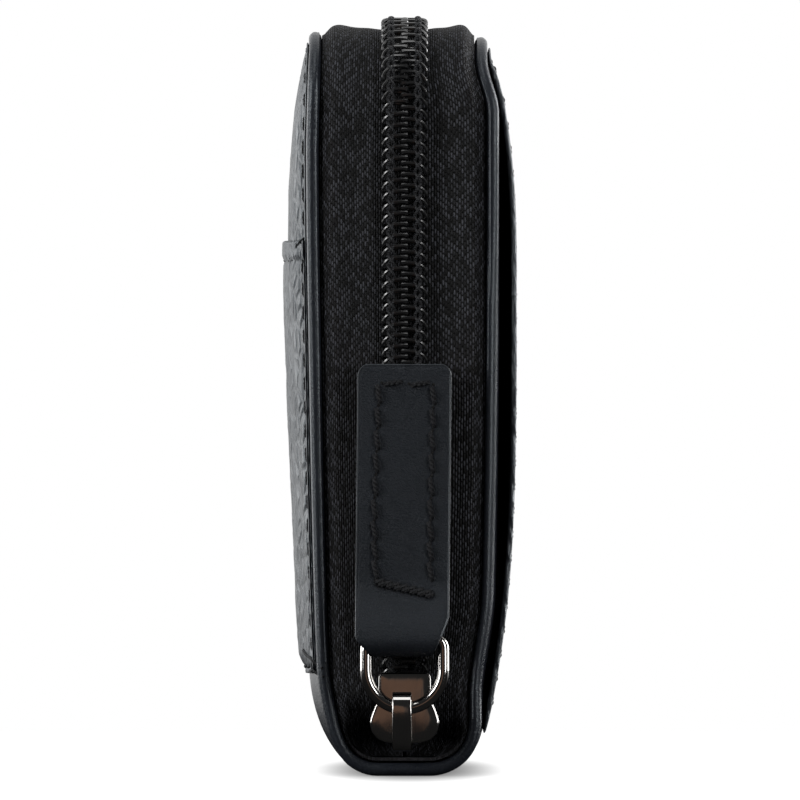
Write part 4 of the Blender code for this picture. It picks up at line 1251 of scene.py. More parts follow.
@dataclass
class CoilShape:
    """Sizes of one half of a zip's chain, measured from the chain's centre and from the tape.

    The dip is a share of the pitch, the arc a share of a turn.
    """

    pitch: float
    outer: float
    hook: float
    low: float
    high: float
    wire: float
    head: float = 0.85
    dip: float = 0.16
    arc: float = 0.1
    steps: int = 20

    def turns(
        self, path: ZipPath | StraightPath, centre: float, sign: int, first: float, last: float
    ) -> Array:
        """The filament's centre line (N, 3): a flattened helix.

        Across the chain and away from the tape it follows a rounded oblong, cos and sin of the turn raised to
        powers below one, squarer at the back than at the hook. It climbs a whole pitch and a little more as
        it leaves its back for the upper leg, which shows from outside as a slanting arc, and sinks by that
        little while it goes round its hook, so both legs of a turn lie square to the chain.
        """
        count = int((last - first) / self.pitch)
        turn = np.linspace(0, TURN * count, self.steps * count + 1)
        cos, sin = np.cos(turn), np.sin(turn)
        low, high = -self.hook + self.wire, self.outer - self.wire
        u = (low + high) / 2 + (high - low) / 2 * signed_power(cos, np.where(cos > 0, 0.85, 0.5))
        n = (self.low + self.high) / 2 + ((self.high - self.low) / 2 - self.wire) * signed_power(sin, 0.65)
        share = turn / TURN
        late = share - self.arc
        back = np.floor(late + 0.5) - 0.5 + ease((late - np.floor(late + 0.5)) / 0.36 + 0.5)
        hook = np.floor(share) + ease((share - np.floor(share) - 0.5) / 0.2 + 0.5)
        forward = self.pitch * ((1 + self.dip) * back - self.dip * hook)
        start = first + (self.pitch / 2 if sign > 0 else 0)
        base, out = path.frame(start + forward)
        return base + out * n[:, None] + xyz(centre + sign * u, 0.0, 0.0)

    def filament(self, name: str, line: Array) -> bpy.types.Object:
        """The nylon filament along a centre line, swollen in a bell curve at each hook's upper bend."""
        ahead = unit(np.gradient(line, axis=0))
        across = unit(np.cross(ahead, np.roll(ahead, -4, axis=0)) + 1e-6)
        share = np.arange(len(line)) % self.steps / self.steps
        radius = self.wire * (1 + self.head * bump(share, 0.39, 0.055))
        return Surface().tubes(line[None], across[None], radius[None], 6).build(name)


@dataclass
class MainZip:
    """The zip that closes the wallet: two woven tapes and two coils, sewn on with two rows of thread each."""

    tape: float = 0.5 * MM
    tape_edge: float = 0.25 * MM
    tape_depth: float = 1.74 * MM
    flange: float = 7.0 * MM
    first_tooth: float = 2.7 * MM
    corner: float = 11.0 * MM
    chain_height: float = 1.5 * MM
    half_chain: float = 2.95 * MM
    thread: float = 0.19 * MM
    thread_place: float = 1.75 * MM
    thread_level: float = 1.1 * MM
    thread_swing: float = 0.38 * MM

    def __post_init__(self) -> None:
        """Take the zip's line from the CAD tape and coil."""
        low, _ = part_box("front_zip_tape")
        coil_low, coil_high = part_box("front_zip_coil")
        top = coil_high.z - self.chain_height
        self.path = ZipPath(coil_high.y - self.chain_height, low.z, top, self.corner)
        self.last_tooth = self.path.length - self.first_tooth
        self.centre = coil_low.x + self.half_chain
        self.coil = CoilShape(
            pitch=1.45 * MM, outer=3.1 * MM, hook=0.6 * MM, low=0.1 * MM, high=self.chain_height,
            wire=0.22 * MM,
        )

    def web(self, share: float, level: Array) -> Array:
        """Lift of the tape from shell (share 0) to chain (share 1): a groove, a soft hump, then a dip.

        The groove is deep at both ends and shallow along the top, where the outward normal's rise is one.
        """
        hump = 0.52 * bump(share, 0.2, 0.16) + 0.12 * bump(share, 0.5, 0.22)
        groove = (1.3 - 0.3 * level) * bump(share, 0.0, 0.085)
        return MM * (hump - groove - 0.14 * ease((share - 0.55) / 0.2))

    def tape_piece(self, side: Side) -> bpy.types.Object:
        """One tape: its flange lies in the cover, its web crosses to the chain and dives in at both ends."""
        path = self.path
        tail = path.low - 2.5 * MM
        bent = path.rise + path.bend
        s = np.unique(np.concatenate([
            np.linspace(-tail, 0, 9), np.linspace(0, 6 * MM, 13), np.linspace(6 * MM, path.rise, 60),
            np.linspace(path.rise, bent, 32), np.linspace(bent, path.length / 2, 40),
        ]))
        s = np.unique(np.concatenate([s, path.length - s]))
        base, out = path.frame(s)
        dive = -6.5 * MM * (1 - ease((np.minimum(s, path.length - s) + tail) / (4.5 * MM + tail)))
        flange = np.linspace(-self.flange, -1.1 * MM, 6)
        shares = np.concatenate([np.linspace(0, 0.3, 10), np.linspace(0.3, 1, 16)[1:]])
        chain = self.centre + side.sign * self.tape_edge

        def layer(shift: float) -> Array:
            """Rows of one of the tape's faces, first over its flange and then over its web."""
            rows = [(0.0, np.full(len(s), lift)) for lift in flange]
            rows += [(share, self.web(share, out[:, 2]) + shift + dive * ease(share * 4)) for share in shares]
            points = []
            for share, lift in rows:
                _, y, z = (base + out * lift[:, None]).T
                edge = side.tucked(y, z, self.tape_depth - shift)
                points.append(xyz(edge * (1 - share) + chain * share, y, z))
            return np.array(points)

        top, under = layer(0.0), layer(-self.tape)
        places = paired(s[None, :], run_length(top[:, len(s) // 2])[:, None])
        return Surface().skin(top, under, places).build(f"{side.body}_tape_twill")

    def braid(self, side: Side) -> bpy.types.Object:
        """Two strands that cross at each turn and hold the coil down: sine waves, in step with the pitch."""
        s = np.arange(self.first_tooth, self.last_tooth, self.coil.pitch / 8)
        base, out = self.path.frame(s)
        legs = self.first_tooth + self.coil.pitch * (0.25 + (0.5 if side.sign > 0 else 0.0))
        wave = math.pi * (s - legs) / self.coil.pitch
        sink = Surface()
        for phase in (0.0, math.pi):
            u = self.thread_place + self.thread_swing * np.sin(wave + phase)
            n = self.thread_level + self.thread_swing * np.abs(np.cos(wave))
            n = n + 0.04 * MM * np.cos(wave + phase)
            line = base + out * n[:, None] + xyz(self.centre + side.sign * u, 0.0, 0.0)
            sink.tubes(line[None], out[None], self.thread, 6)
        return sink.build(f"{side.body}_coil_threads")

    def build(self) -> None:
        """Make both tapes, both coils and the threads."""
        for side in (FRONT, REAR):
            WARDROBE.dress(self.tape_piece(side), Finish.TAPE, side.body, f"{side.body}_zip_tape")
            line = self.coil.turns(self.path, self.centre, side.sign, self.first_tooth, self.last_tooth)
            coil = self.coil.filament(f"{side.body}_coil_filament", line)
            WARDROBE.dress(coil, Finish.COIL, side.body, f"{side.body}_zip_coil")
            WARDROBE.dress(self.braid(side), Finish.BRAID, side.body)
            WARDROBE.paint(f"{side.body}_zip_stop", Finish.GUNMETAL)


# Slider, ring and pull

def sweep(sink: Surface, line: Array, across: Array, wide: Array, high: Array) -> None:
    """Carry a closed section (its widths and heights) along a line (N, 3) and close both ends."""
    ahead = unit(np.gradient(line, axis=0))
    across = np.broadcast_to(unit(np.asarray(across, float)), line.shape)
    top = np.cross(ahead, across)
    points = line[:, None, :] + across[:, None, :] * wide[:, None] + top[:, None, :] * high[:, None]
    sink.rings(points, capped=True)


def rounded_bar(
    sink: Surface, line: Array, across: Array, half_width: float, half_height: float, power: float = 0.45
) -> None:
    """Add a bar with a rounded oblong section: cos and sin of a turn raised to a power, along a line."""
    turn = np.linspace(0, TURN, 24, endpoint=False) + math.pi / 24
    wide = half_width * signed_power(np.cos(turn), power)
    high = half_height * signed_power(np.sin(turn), power)
    sweep(sink, line, across, wide, high)


@dataclass
class Slider:
    """The slider: a domed front plate with side walls, a back plate, the wedge between, and the bridge."""

    tail: float = 4.7 * MM
    nose: float = 4.65 * MM
    shoulder: float = 4.6 * MM
    under: float = 1.8 * MM
    top: float = 2.9 * MM
    wall: float = 0.4 * MM
    ridge: float = 0.13 * MM
    back: tuple[float, float] = (-1.9 * MM, -0.85 * MM)
    back_scale: float = 0.92
    gap: float = 0.3 * MM
    wedge: float = -2.7 * MM

    def __post_init__(self) -> None:
        """Take the slider's place from the CAD."""
        low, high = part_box("slider_body")
        self.x = (low.x + high.x) / 2
        self.z = high.z - self.tail
        self.y = low.y + self.top

    def outline(self, scale: float) -> Array:
        """The plate's outline (N, 2), its corners rounded by averaging neighbours round the loop."""
        across = np.array([0.0, 0.4, 0.72, 0.75, 0.76, 0.9, 1.0, 0.95, 0.76, 0.45, 0.0])
        along = np.array([1.0, 1.0, 1.0, 0.9, 0.25, -0.06, -0.36, -0.66, -0.88, -0.98, -1.0])
        along = np.where(along > 0, along * self.tail, along * self.nose)
        right = np.stack([across * self.shoulder, along], axis=1)
        loop = np.concatenate([right, (right * [-1, 1])[-2:0:-1]])
        even = evened(np.concatenate([loop, loop[:1]]), 120, closed=True)
        for _ in range(3):
            even = (np.roll(even, 1, axis=0) + 2 * even + np.roll(even, -1, axis=0)) / 4
        return even * scale

    def place(self, across: Array, along: Array, out: Array) -> Array:
        """Points given in the slider's own frame, in the wallet's."""
        return xyz(self.x + across, self.y - out, self.z + along)

    def plate(self, sink: Surface, low: float, high: float, dome: float, scale: float) -> None:
        """Add a plate between two levels: rings of the outline, rounded at the rim, domed in the middle."""
        loop = self.outline(scale).T
        rim = min((high - low) / 2, 0.34 * MM)
        shares = [0.0, 0.35, 0.7]
        rings = [(share, low) for share in shares]
        for angle in np.linspace(-QUARTER, QUARTER, 9):
            level = (low + rim if angle < 0 else high - rim) + rim * math.sin(angle)
            rings.append((1 - rim / self.shoulder * (1 - math.cos(angle)), level))
        rings += [(share, high) for share in shares[::-1]]
        points = []
        for share, level in rings:
            lift = dome * (1 - share**2) if level > (low + high) / 2 else 0.0
            points.append(self.place(*(loop * max(share, 0.002)), level + lift))
        sink.rings(np.array(points), capped=True)

    def body(self) -> bpy.types.Object:
        """The slider's body as one dressed piece."""
        sink = Surface()
        self.plate(sink, self.under, self.top, 0.06 * MM, 1.0)
        self.plate(sink, *self.back, 0.0, self.back_scale)
        loop = self.outline(1.0)
        across, along = loop.T
        foot, head = self.gap, self.under + self.gap
        inside = (along < self.tail * 0.96) & (along > -self.nose * 0.7)
        for sign in (-1, 1):
            rim = loop[(across * sign > self.shoulder * 0.6) & inside]
            rim = rim[np.argsort(rim[:, 1])]
            line = self.place(rim[:, 0] - sign * self.wall / 2, rim[:, 1], (foot + head) / 2)
            rounded_bar(sink, line, Y_AXIS, (head - foot) / 2, self.wall / 2)
        line = self.place(0.0, self.wedge, np.linspace(-1.6 * MM, self.under + 0.2 * MM, 6))
        rounded_bar(sink, line, X_AXIS, 0.75 * MM, 1.5 * MM, 0.9)
        return sink.build("slider_casting")

    def bridge(self) -> bpy.types.Object:
        """The strap over the ring: steep towards the tail, sloping to the nose, with a ridge along it."""
        half, bevel = 0.45 * MM, 0.16 * MM
        line = np.array([
            (1.72, 2.7), (1.72, 4.4), (1.62, 4.9), (1.3, 5.35), (0.8, 5.55), (0.0, 5.58), (-1.2, 5.56),
            (-2.0, 5.52), (-3.1, 5.3), (-4.2, 4.75), (-4.95, 4.0), (-5.2, 3.3), (-5.2, 2.7),
        ]) * MM
        line = self.place(-0.35 * MM, *smoothed(evened(line, 40), 4).T)
        turn = np.linspace(0.1, QUARTER, 7)
        side, rim = 1.25 * MM - bevel * (1 - np.cos(turn)), half - bevel * (1 - np.sin(turn))
        wide = np.concatenate([side, [0.0], -side[::-1], -side, side[::-1]])
        high = np.concatenate([rim, [half + self.ridge], rim[::-1], -rim, -rim[::-1]])
        sink = Surface()
        sweep(sink, line, -X_AXIS, wide, high)
        return sink.build("slider_strap", 11.0)

    def build(self) -> None:
        """Make the body and the bridge."""
        WARDROBE.dress(self.body(), Finish.GUNMETAL, "slider", "slider_body")
        WARDROBE.dress(self.bridge(), Finish.GUNMETAL, "slider", "slider_bridge")


@dataclass
class Ring:
    """The D-ring of round wire: a half round under the bridge, two legs, and a bar with rounded corners."""

    wire: float = 0.8 * MM
    half: float = 5.05 * MM
    height: float = 9.14 * MM
    corner: float = 1.3 * MM

    def build(self) -> None:
        """Make the ring from arcs and straight lines, evened out along its length."""
        x, y, z = joint_place("ring_swing")
        low = np.linspace(-QUARTER, QUARTER, 41)
        high = np.linspace(0, QUARTER, 9)
        arc = paired(self.half * np.sin(low), self.half * (1 - np.cos(low)))
        inset, drop = self.corner * (1 - np.cos(high)), self.corner * (1 - np.sin(high))
        bend = paired(self.half - inset, self.height - drop)
        loop = np.concatenate([arc, bend, (bend * [-1, 1])[::-1], arc[:1]])
        across, along = evened(loop, 110, closed=True).T
        line = xyz(x + across, y, z + along)
        piece = Surface().tubes(line[None], Y_AXIS, self.wire, 16, looped=True).build("ring_wire")
        WARDROBE.dress(piece, Finish.GUNMETAL, "ring", "pull_ring")


@dataclass
class Pull:
    """The leather pull: a strip folded round the ring's bar and sewn to itself in a long box."""

    layer: float = 1.0 * MM
    loop: float = 1.85 * MM
    half: float = 6.1 * MM
    narrow: float = 4.1 * MM
    corner: float = 1.5 * MM
    lean: float = 0.35 * MM
    tapers: tuple[float, float] = (1.7 * MM, 4.6 * MM)

    def __post_init__(self) -> None:
        """Take the bar's place and the pull's length from the CAD."""
        self.x, self.y, self.z = joint_place("tab_swing")
        self.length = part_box("pull_tab")[1].z - self.z

    def front_level(self, along: Array) -> Array:
        """How far the front layer's middle stands off the bar's axis, easing down to the back layer."""
        return self.loop + (-self.loop + self.layer + 0.12 * MM - self.loop) * ease(along / (7.5 * MM))

    def width(self, along: Array, rise: float) -> Array:
        """Half width at a distance from the bar: narrow, then full a rise above that, rounded at the top."""
        taper = np.clip((along + self.loop - 0.1 * MM) / rise, 0, 1) ** 0.75
        high = np.clip(along - (self.length - self.corner), 0, self.corner)
        full = self.narrow + (self.half - self.narrow) * taper
        return full - self.corner + np.sqrt(np.maximum(self.corner**2 - high**2, 0))

    def strip(self) -> bpy.types.Object:
        """The folded strip as one closed skin: its middle runs down the back, round the bar, up the front."""
        rounded = np.array([0, 0.03, 0.1, 0.22, 0.4, 0.7, 1.0, 1.4]) * MM
        down = self.length - np.concatenate([rounded, np.linspace(2 * MM, self.length, 46)])
        turn = np.linspace(0, math.pi, 22)[1:-1]
        along = np.concatenate([down, -self.loop * np.sin(turn), down[::-1]])
        back = np.full(len(down), -self.loop)
        out = np.concatenate([back, -self.loop * np.cos(turn), self.front_level(down[::-1])])
        line = paired(along, out)
        ahead = unit(np.gradient(line, axis=0))
        normal = paired(ahead[:, 1], -ahead[:, 0])
        left, right = (self.width(along, rise)[:, None] for rise in self.tapers)
        stations = np.array([0, 0.03, 0.1, 0.22, 0.4]) * MM
        inside = np.linspace(0, 1, 26)[None, 1:-1]
        inside = (inside - 1) * (left - stations[-1]) + inside * (right - stations[-1])
        across = np.concatenate([-left + stations, inside, (right - stations)[:, ::-1]], axis=1)
        half = np.where(across < 0, left, right)
        edge = np.minimum(half - np.abs(across), (self.length - along)[:, None])
        share = rolled(np.maximum(edge, 0), 0.4 * MM)
        across = across - self.lean * (1 - along[:, None] / self.length)
        dent = 0.12 * MM * bump(half - np.abs(across), 2.35 * MM, 0.5 * MM)
        dent = dent * ease((along[:, None] - 7 * MM) / (2 * MM)) * (out[:, None] > 0)
        reach = self.layer / 2 * share
        outer = line[:, None, :] + normal[:, None, :] * (reach - dent)[..., None]
        inner = line[:, None, :] - normal[:, None, :] * reach[..., None]
        faces = [
            xyz(self.x + across, self.y - face[..., 1], self.z + face[..., 0]) for face in (outer, inner)
        ]
        return Surface().skin(*faces).build("pull_leather_strip")

    def surface(self, across: Array, along: Array) -> Array:
        """Points on the pull's front face."""
        return xyz(self.x + across, self.y - self.front_level(along) - self.layer / 2, self.z + along)

    def seam(self) -> None:
        """Sew the box: two long rows, the top row, and a slanting lower row with doubled stitches."""
        left, right = -4.0 * MM, 3.4 * MM
        top, low = self.length - 2.4 * MM, 7.4 * MM
        box = np.array([
            (left + 0.2 * MM, low + 0.3 * MM), (left, low + 8 * MM), (left + 0.7 * MM, top),
            (right + 0.4 * MM, top - 0.2 * MM), (right, low + 8 * MM), (right, low),
        ])
        sink, hole_shades = Surface(), Surface()
        self.row(sink, hole_shades, box, 2.9 * MM, 2.8 * MM, 0.33 * MM, 0.2)
        slant = np.array([(left + 0.2 * MM, low + 0.2 * MM), (right, low - 1.5 * MM)])
        for shift in (0.0, 0.35 * MM):
            self.row(sink, hole_shades, slant + [shift, -shift], 1.1 * MM, 1.4 * MM, 0.36 * MM, 0.5)
        WARDROBE.dress(sink.build("pull_stitching"), Finish.SEAM, "tab")
        # Near-black blobs: painted shade in the needle holes.
        WARDROBE.dress(hole_shades.build("pull_needle_holes"), Finish.HOLE, "tab")

    def row(
        self, sink: Surface, hole_shades: Surface, line: Array, pitch: float, length: float, radius: float,
        slant: float,
    ) -> None:
        """Lay stitches along a line on the pull's face, with painted shade, a near-black blob, in the needle
        hole at each end.
        """
        grain = np.linspace(-1, 1, 5) * 0.3 * MM
        swell = 0.3 * MM * np.array([0.3, 0.85, 1.0, 0.85, 0.3])
        for start, end in zip(line[:-1], line[1:]):
            places, ahead = even_places(np.array([start, end]), pitch)
            at = self.surface(places[:, 0], places[:, 1])
            direction = xyz(ahead[:, 0], 0.0, ahead[:, 1])
            stitches(sink, at, direction, -Y_AXIS, length, radius, slant)
            # Painted shade: dark blobs sunk at the needle holes.
            ends = at - direction * (pitch / 2) + Y_AXIS * 0.17 * MM
            hole_shades.tubes(ends[:, None, :] + direction[:, None, :] * grain[:, None], -Y_AXIS, swell, 6)

    def painted_edges(self) -> bpy.types.Object:
        """A thin bead of edge paint on the corner of both layers, along the two sides and over the top.

        It is lighter than the pull: the paint's own worn grey, and a painted highlight where the edge catches
        the light.
        """
        bend = self.length - self.corner * (1 - np.sin(np.linspace(0.05, 1, 9) * QUARTER))
        along = np.concatenate([np.linspace(0.3 * MM, self.length - self.corner, 40), bend])
        left, right = (self.width(along, rise) for rise in self.tapers)
        across = np.concatenate([-left, right[::-1]])
        along = np.concatenate([along, along[::-1]])
        shifted = across * (1 - 0.08 * MM / np.abs(across)) - self.lean * (1 - along / self.length)
        front = self.surface(shifted, np.minimum(along, self.length - 0.08 * MM)) + Y_AXIS * 0.1 * MM
        back = front.copy()
        back[:, 1] = self.y + self.loop + self.layer / 2 - 0.12 * MM
        beads = Surface().tubes(np.stack([front, back]), np.array([0.0, 1.0, 0.3]), 0.13 * MM, 7)
        return beads.build("pull_edge_paint")

    def build(self) -> None:
        """Make the strip, its beads of edge paint with their painted highlight, and its seam."""
        strip = WARDROBE.dress(self.strip(), Finish.PULL, None, "pull_tab")
        edges = WARDROBE.dress(self.painted_edges(), Finish.PAINT, None)
        for piece in (strip, edges):
            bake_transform(piece)
        self.seam()


# Inside

@dataclass
class Inside:
    """Linings, card slots and the coin pocket."""

    lining_depth: float = 2.8 * MM
    lining: float = 0.4 * MM
    card_depth: float = 3.5 * MM
    card_step: float = 0.7 * MM
    card: float = 0.45 * MM
    thumb_cut: float = 2.5 * MM

    def cover_lining(self, side: Side) -> None:
        """One cover's lining: a thin sheet along the wall, with a folded edge."""
        low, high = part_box(f"{side.body}_lining")
        outline = Outline(high.y, low.z, high.z, 9.8 * MM, 0.0)
        y, z = outline.grid(np.array([0, 0.05, 0.2, 1.0, 1.6]) * MM, 40, 30)
        edge = outline.edge(y, z)
        hem = 0.08 * MM * bump(edge, 1.0 * MM, 0.5 * MM)
        outer = side.tucked(y, z, self.lining_depth) + side.sign * 0.1 * MM
        inner = side.tucked(y, z, self.lining_depth + self.lining) - side.sign * hem
        sheet = leaf(outer, inner, y, z, rolled(edge, 0.2 * MM), paired(z, y))
        piece = sheet.build(f"{side.body}_lining_cloth")
        WARDROBE.dress(piece, Finish.LINING, side.body, f"{side.body}_lining")

    def card_slots(self, side: Side) -> None:
        """Three card slot panels, each with a thumb cut and a creased top edge, sewn down its two sides."""
        sink = Surface()
        for number in range(3):
            node = f"{side.body}_card_panel_{number + 1}"
            low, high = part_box(node)
            depth = self.card_depth + number * self.card_step
            steps = np.array([0, 0.05, 0.2, 0.6, 1.2]) * MM
            middle = np.linspace(-high.y + 2 * MM, high.y - 2 * MM, 71)
            across = np.concatenate([-high.y + steps, middle, high.y - steps[::-1]])
            top = high.z - self.thumb_cut * ease(1.15 - np.abs(across) / (14 * MM))
            share = np.concatenate([np.linspace(0, 0.25, 8), np.linspace(0.25, 1, 20)[1:]])
            body = low.z + (top - 2 * MM - low.z) * share[:, None]
            rim = top - np.array([1.6, 1.2, 0.9, 0.6, 0.3, 0.12, 0.03, 0])[:, None] * MM
            z = np.concatenate([body, rim])
            y = np.broadcast_to(across, z.shape)
            edge = np.minimum(np.minimum(high.y - np.abs(y), z - low.z), top - z)
            crease = 0.07 * MM * bump(top - z, 1.2 * MM, 0.22 * MM)
            outer, inner = side.tucked(y, z, depth), side.tucked(y, z, depth + self.card - crease)
            sheet = leaf(outer, inner, y, z, rolled(np.maximum(edge, 0), 0.22 * MM))
            WARDROBE.dress(sheet.build(f"{node}_calf"), Finish.CARD, side.body, node)
            for end in (-1, 1):
                ends = np.array([low.z + 2 * MM, high.z - 1 * MM])
                places, ahead = even_places(paired(end * (high.y - 2 * MM), ends), 3 * MM)
                y, z = places.T
                at = xyz(side.tucked(y, z, depth + 0.48 * MM), y, z)
                direction = xyz(0.0, ahead[:, 0], ahead[:, 1])
                stitches(sink, at, direction, -side.sign * X_AXIS, 2.3 * MM, 0.1 * MM)
        WARDROBE.dress(sink.build(f"{side.body}_card_seams"), Finish.SEAM, side.body)

    def spine_lining(self) -> None:
        """The spine's lining, replaced by a finer sheet with the same section."""
        low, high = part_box("spine_lining")
        lines = []
        for depth in (2.0 * MM, 2.4 * MM):
            points = []
            for side in (FRONT, REAR):
                limit = (low.x if side is FRONT else high.x) * 0.995
                x = np.linspace(side.sign * side.flat, limit, 16)
                reach = side.face - side.splay - side.flat - depth
                share = np.clip((np.abs(x) - side.flat) / reach, 0, 0.999)
                z = side.rise - (side.rise - depth) * np.sqrt(1 - share**2)
                points.append(paired(x, z))
            lines.append(np.concatenate([points[0][::-1], points[1]]))
        piece = drawn(lines, np.linspace(low.y, high.y, 40)[None, :]).build("spine_lining_cloth")
        WARDROBE.dress(piece, Finish.LINING, "spine", "spine_lining")

    def coin_walls(self) -> None:
        """The coin pocket's two walls, a little slack, with their edges rolled."""
        for name in ("coin_wall_front", "coin_wall_rear"):
            low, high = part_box(name)
            outline = Outline(high.y, low.z, high.z, 0.5 * MM, 3.0 * MM)
            y, z = outline.grid(np.array([0, 0.04, 0.15, 0.25, 1.0, 1.5]) * MM, 30, 40)
            edge = outline.edge(y, z)
            slack = 0.12 * MM * ripple(y, z, 10 * MM) * ease(edge / (6 * MM))
            sheet = leaf(low.x + slack, high.x + slack, y, z, rolled(edge, 0.25 * MM), paired(z, y))
            WARDROBE.dress(sheet.build(f"{name}_cloth"), Finish.LINING, "spine", name)

    def coin_gusset(self) -> None:
        """The strip that joins the walls down both ends and along the bottom, where it sags."""
        low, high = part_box("coin_gusset")
        turn = np.linspace(0, QUARTER, 12)
        lines = []
        for radius, inset in ((4.0 * MM, 0.0), (3.6 * MM, 0.4 * MM)):
            y = low.y + inset + radius * (1 - np.cos(turn))
            z = low.z + inset + radius * (1 - np.sin(turn))
            rise = np.linspace(high.z, z[0], 14)[:-1]
            y = np.concatenate([np.full(len(rise), y[0]), y, -y[::-1], np.full(len(rise), -y[0])])
            z = np.concatenate([rise, z, z[::-1], rise[::-1]])
            lines.append(paired(y, z))
        x = np.linspace(low.x, high.x, 7)[:, None]
        sag = 0.25 * MM * (1 - ((x - (low.x + high.x) / 2) / (high.x - low.x) * 2) ** 2)
        faces = [xyz(x, y, z + sag * (z < 5 * MM)) for y, z in (line.T for line in lines)]
        piece = Surface().skin(*faces, paired(x, run_length(lines[0]))).build("coin_gusset_cloth")
        WARDROBE.dress(piece, Finish.LINING, "spine", "coin_gusset")

    def coin_zip(self) -> None:
        """The coin pocket's zip: two tapes, two coils, and the CAD's metal pieces in gunmetal."""
        for name, sign in (("front", -1), ("rear", 1)):
            low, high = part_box(f"coin_tape_{name}")
            outside, inside = (low.x, high.x) if sign < 0 else (high.x, low.x)
            bend = 0.5 * MM
            turn = np.linspace(0, QUARTER, 7)
            lines = []
            for shift in (0.0, bend):
                x = outside - sign * bend + sign * (bend - shift) * np.cos(turn)
                z = high.z - bend + (bend - shift) * np.sin(turn)
                x = np.concatenate([[outside - sign * shift] * 2, x, [inside]])
                z = np.concatenate([[low.z, high.z - 2 * MM], z, [high.z - shift]])
                lines.append(paired(x, z))
            piece = drawn(lines, np.linspace(low.y, high.y, 60)[None, :]).build(f"coin_tape_{name}_twill")
            WARDROBE.dress(piece, Finish.TAPE, "spine", f"coin_tape_{name}")
            coil_low, coil_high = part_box(f"coin_coil_{name}")
            shape = CoilShape(
                pitch=1.9 * MM, outer=2.0 * MM, hook=0.5 * MM, low=0.12 * MM, high=1.15 * MM, wire=0.25 * MM
            )
            path = StraightPath(coil_low.y, high.z)
            centre = coil_low.x + 2.0 * MM if sign < 0 else coil_high.x - 2.0 * MM
            line = shape.turns(path, centre, sign, 0.3 * MM, coil_high.y - coil_low.y - 0.3 * MM)
            piece = shape.filament(f"coin_coil_{name}_filament", line)
            WARDROBE.dress(piece, Finish.COIL, "spine", f"coin_coil_{name}")
        for node in ("coin_slider", "coin_slider_bridge", "coin_pull", "coin_stop_near", "coin_stop_far"):
            WARDROBE.paint(node, Finish.GUNMETAL)

    def build(self) -> None:
        """Make everything inside the shell."""
        for side in (FRONT, REAR):
            self.cover_lining(side)
            self.card_slots(side)
        self.spine_lining()
        self.coin_walls()
        self.coin_gusset()
        self.coin_zip()


# Studio

@dataclass(frozen=True)
class Lamp:
    """A soft rectangular lamp: where it hangs, its width and height, and its power in watts."""

    name: str
    place: tuple[float, float, float]
    size: tuple[float, float]
    power: float

    def hang(self) -> None:
        """Hang the lamp so that it points at the middle of the wallet."""
        data = bpy.data.lights.new(self.name, "AREA")
        data.shape = "RECTANGLE"
        data.size, data.size_y = self.size
        data.energy = self.power
        lamp = bpy.data.objects.new(self.name, data)
        lamp.location = self.place
        aim = np.array([0.0, 0.0, 0.05]) - np.array(self.place)
        tilt = math.acos(-aim[2] / np.linalg.norm(aim))
        lamp.rotation_euler = (tilt, 0.0, math.atan2(aim[1], aim[0]) - QUARTER)
        bpy.context.scene.collection.objects.link(lamp)


LAMPS = (
    Lamp("left_softbox", (-0.95, 0.4, 0.12), (0.9, 0.55), 5.2),
    Lamp("near_left_softbox", (-0.9, -0.5, 0.4), (0.35, 0.8), 9.3),
    Lamp("right_softbox", (0.9, 0.4, 0.14), (0.5, 0.9), 13.0),
    Lamp("near_right_softbox", (0.75, -0.75, 0.2), (0.3, 0.8), 6.2),
    Lamp("top_softbox", (-0.05, -0.35, 1.05), (0.6, 0.7), 3.0),
)


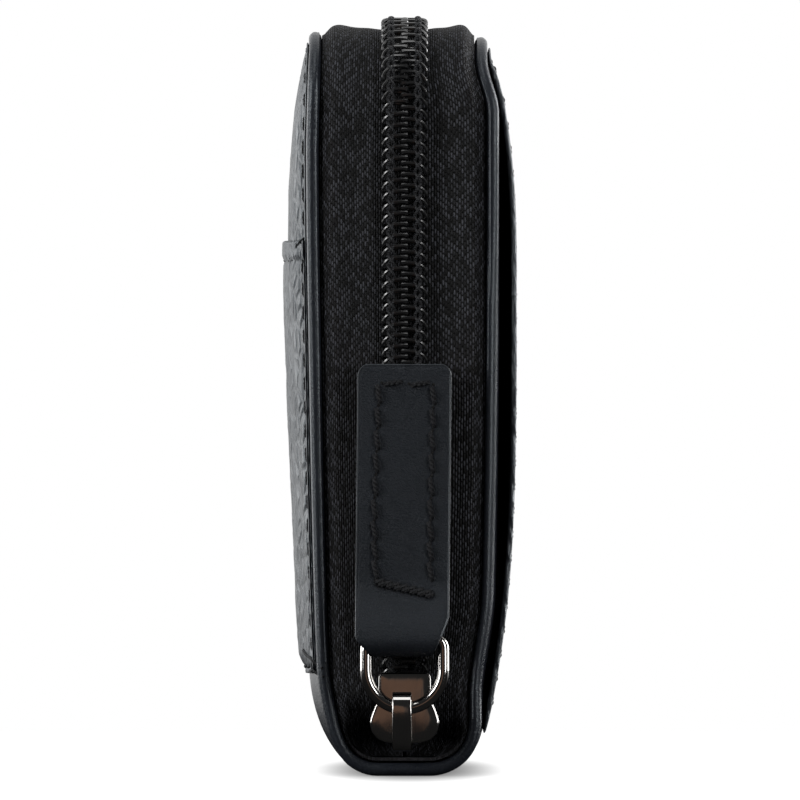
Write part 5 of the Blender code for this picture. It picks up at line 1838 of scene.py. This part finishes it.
@dataclass
class Studio:
    """A white sweep with five soft lamps: two on the left, two on the right, and a weak one above."""
    scale: float = 7.62 / MM
    image: float = 800.0
    centre_x: float = 400.0
    floor_y: float = 775.5
    distance: float = 3.0
    inward: float = 6.0 * MM
    fill: float = 0.15
    # The floor's painted contact shadow: its middle, half width, flat length and fade.
    foot_x: float = 1.2 * MM
    foot_y: float = -12.0 * MM
    foot_half: float = 13.5 * MM
    foot_flat: float = 10.0 * MM
    foot_fade: float = 105.0 * MM

    def camera(self) -> None:
        """Stand the camera level, so that the near end of the wallet has the photograph's scale and place."""
        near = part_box("front_zip_coil")[0].y + self.inward
        width = self.image / self.scale
        data = bpy.data.cameras.new("camera")
        data.sensor_width = 36.0
        data.lens = data.sensor_width * self.distance / width
        data.clip_end = 20.0
        camera = bpy.data.objects.new("camera", data)
        height = (self.floor_y - self.image / 2) / self.scale
        camera.location = ((self.image / 2 - self.centre_x) / self.scale, near - self.distance, height)
        camera.rotation_euler = (QUARTER, 0.0, 0.0)
        bpy.context.scene.collection.objects.link(camera)
        bpy.context.scene.camera = camera

    def world(self) -> None:
        """Plain even fill, with the white backdrop behind the wallet and a dim warm room in front."""
        graph = Graph("studio", world=True)
        bpy.context.scene.world = graph.owner
        where = graph.node("ShaderNodeTexCoord", output="Generated")
        side = graph.node("ShaderNodeSeparateXYZ", inputs={0: where}, output=1)
        backdrop = side.clamped(-0.15, 0.5)
        room = (-0.9945 * side - 0.1045 * side.sibling(0)).clamped(0.982, 0.991)
        camera, glossy, through, diffuse = graph.rays("Camera", "Glossy", "Transmission", "Diffuse")
        seen = camera + (glossy + through) * backdrop
        front = glossy * (0.03 + 0.17 * room) + diffuse * self.fill
        warm = graph.shade(glossy * room, (1, 1, 1), (1.0, 0.6, 0.42))
        colour = graph.mixed((seen + front).math("MINIMUM", 1.0), (0, 0, 0, 1), warm)
        graph.set(Color=colour, Strength=1.0)

    def floor(self) -> None:
        """A white disc that shows its own white to camera, except close round the wallet's foot, where its
        glow is dimmed as a painted contact shadow.

        That glow rises with the square of the distance aside of the shadow's middle line, in half widths,
        plus the square of the distance past the shadow's flat part, in lengths of the fade. To gloss the disc
        glows only behind the wallet and away from its sides, and its colour drops to 0.02: a painted shade in
        the wallet's reflections.
        """
        turn = np.linspace(0, TURN, 96, endpoint=False)[None, :]
        radius = np.array([0.001, 0.05, 0.1, 0.2, 0.34])[:, None]
        disc = xyz(radius * np.cos(turn), radius * np.sin(turn), -0.02 * MM)
        piece = Surface().rings(disc).build("floor")
        graph = Graph("floor_white")
        graph.set(Roughness=1.0, Specular_IOR_Level=0.0)
        camera, glossy, through = graph.rays("Camera", "Glossy", "Transmission")
        where = graph.node("ShaderNodeSeparateXYZ", inputs={0: graph.place()})
        ahead = where.sibling(1)
        # Painted contact shadow: the floor's glow is dimmed close round the wallet's foot.
        aside = ((where - self.foot_x) * (1 / self.foot_half)).math("POWER", 2.0)
        past = ((ahead - self.foot_y).math("ABSOLUTE") - self.foot_flat).math("MAXIMUM", 0.0)
        past = (past * (1 / self.foot_fade)).math("POWER", 2.0)
        glow_with_painted_shadow = 0.1 + 0.9 * (aside + past).math("POWER", 1.1).clamped(-0.1, 1.0)
        # Painted shade in reflections: to gloss the floor glows only behind the wallet and away from its
        # sides, and its colour drops from 0.14 to 0.02.
        behind = ahead.clamped(-60 * MM, 20 * MM) * where.math("ABSOLUTE").clamped(16 * MM, 105 * MM)
        seen = (camera + (glossy + through) * behind).math("MINIMUM", 1.0)
        graph.set(
            Base_Color=graph.shade(glossy, (0.14, 0.14, 0.14), (0.02, 0.02, 0.02)),
            Emission_Color=graph.shade(seen * glow_with_painted_shadow, (0, 0, 0), (1, 1, 1)),
            Emission_Strength=1.0,
        )
        piece.data.materials.append(graph.owner)

    def build(self) -> None:
        """Set up the camera, the lamps, the world and the floor."""
        self.camera()
        for lamp in LAMPS:
            lamp.hang()
        self.world()
        self.floor()
        bpy.context.scene.view_settings.view_transform = "Standard"


def main() -> None:
    """Build the wallet's pieces in order, then the studio round it."""
    logging.basicConfig(level=logging.INFO, format="%(name)s: %(message)s")
    parts = (Shell(), FrontPanel(), RearPocket(), MainZip(), Slider(), Ring(), Pull(), Inside(), Studio())
    for part in parts:
        part.build()


if __name__ == "__main__":
    main()
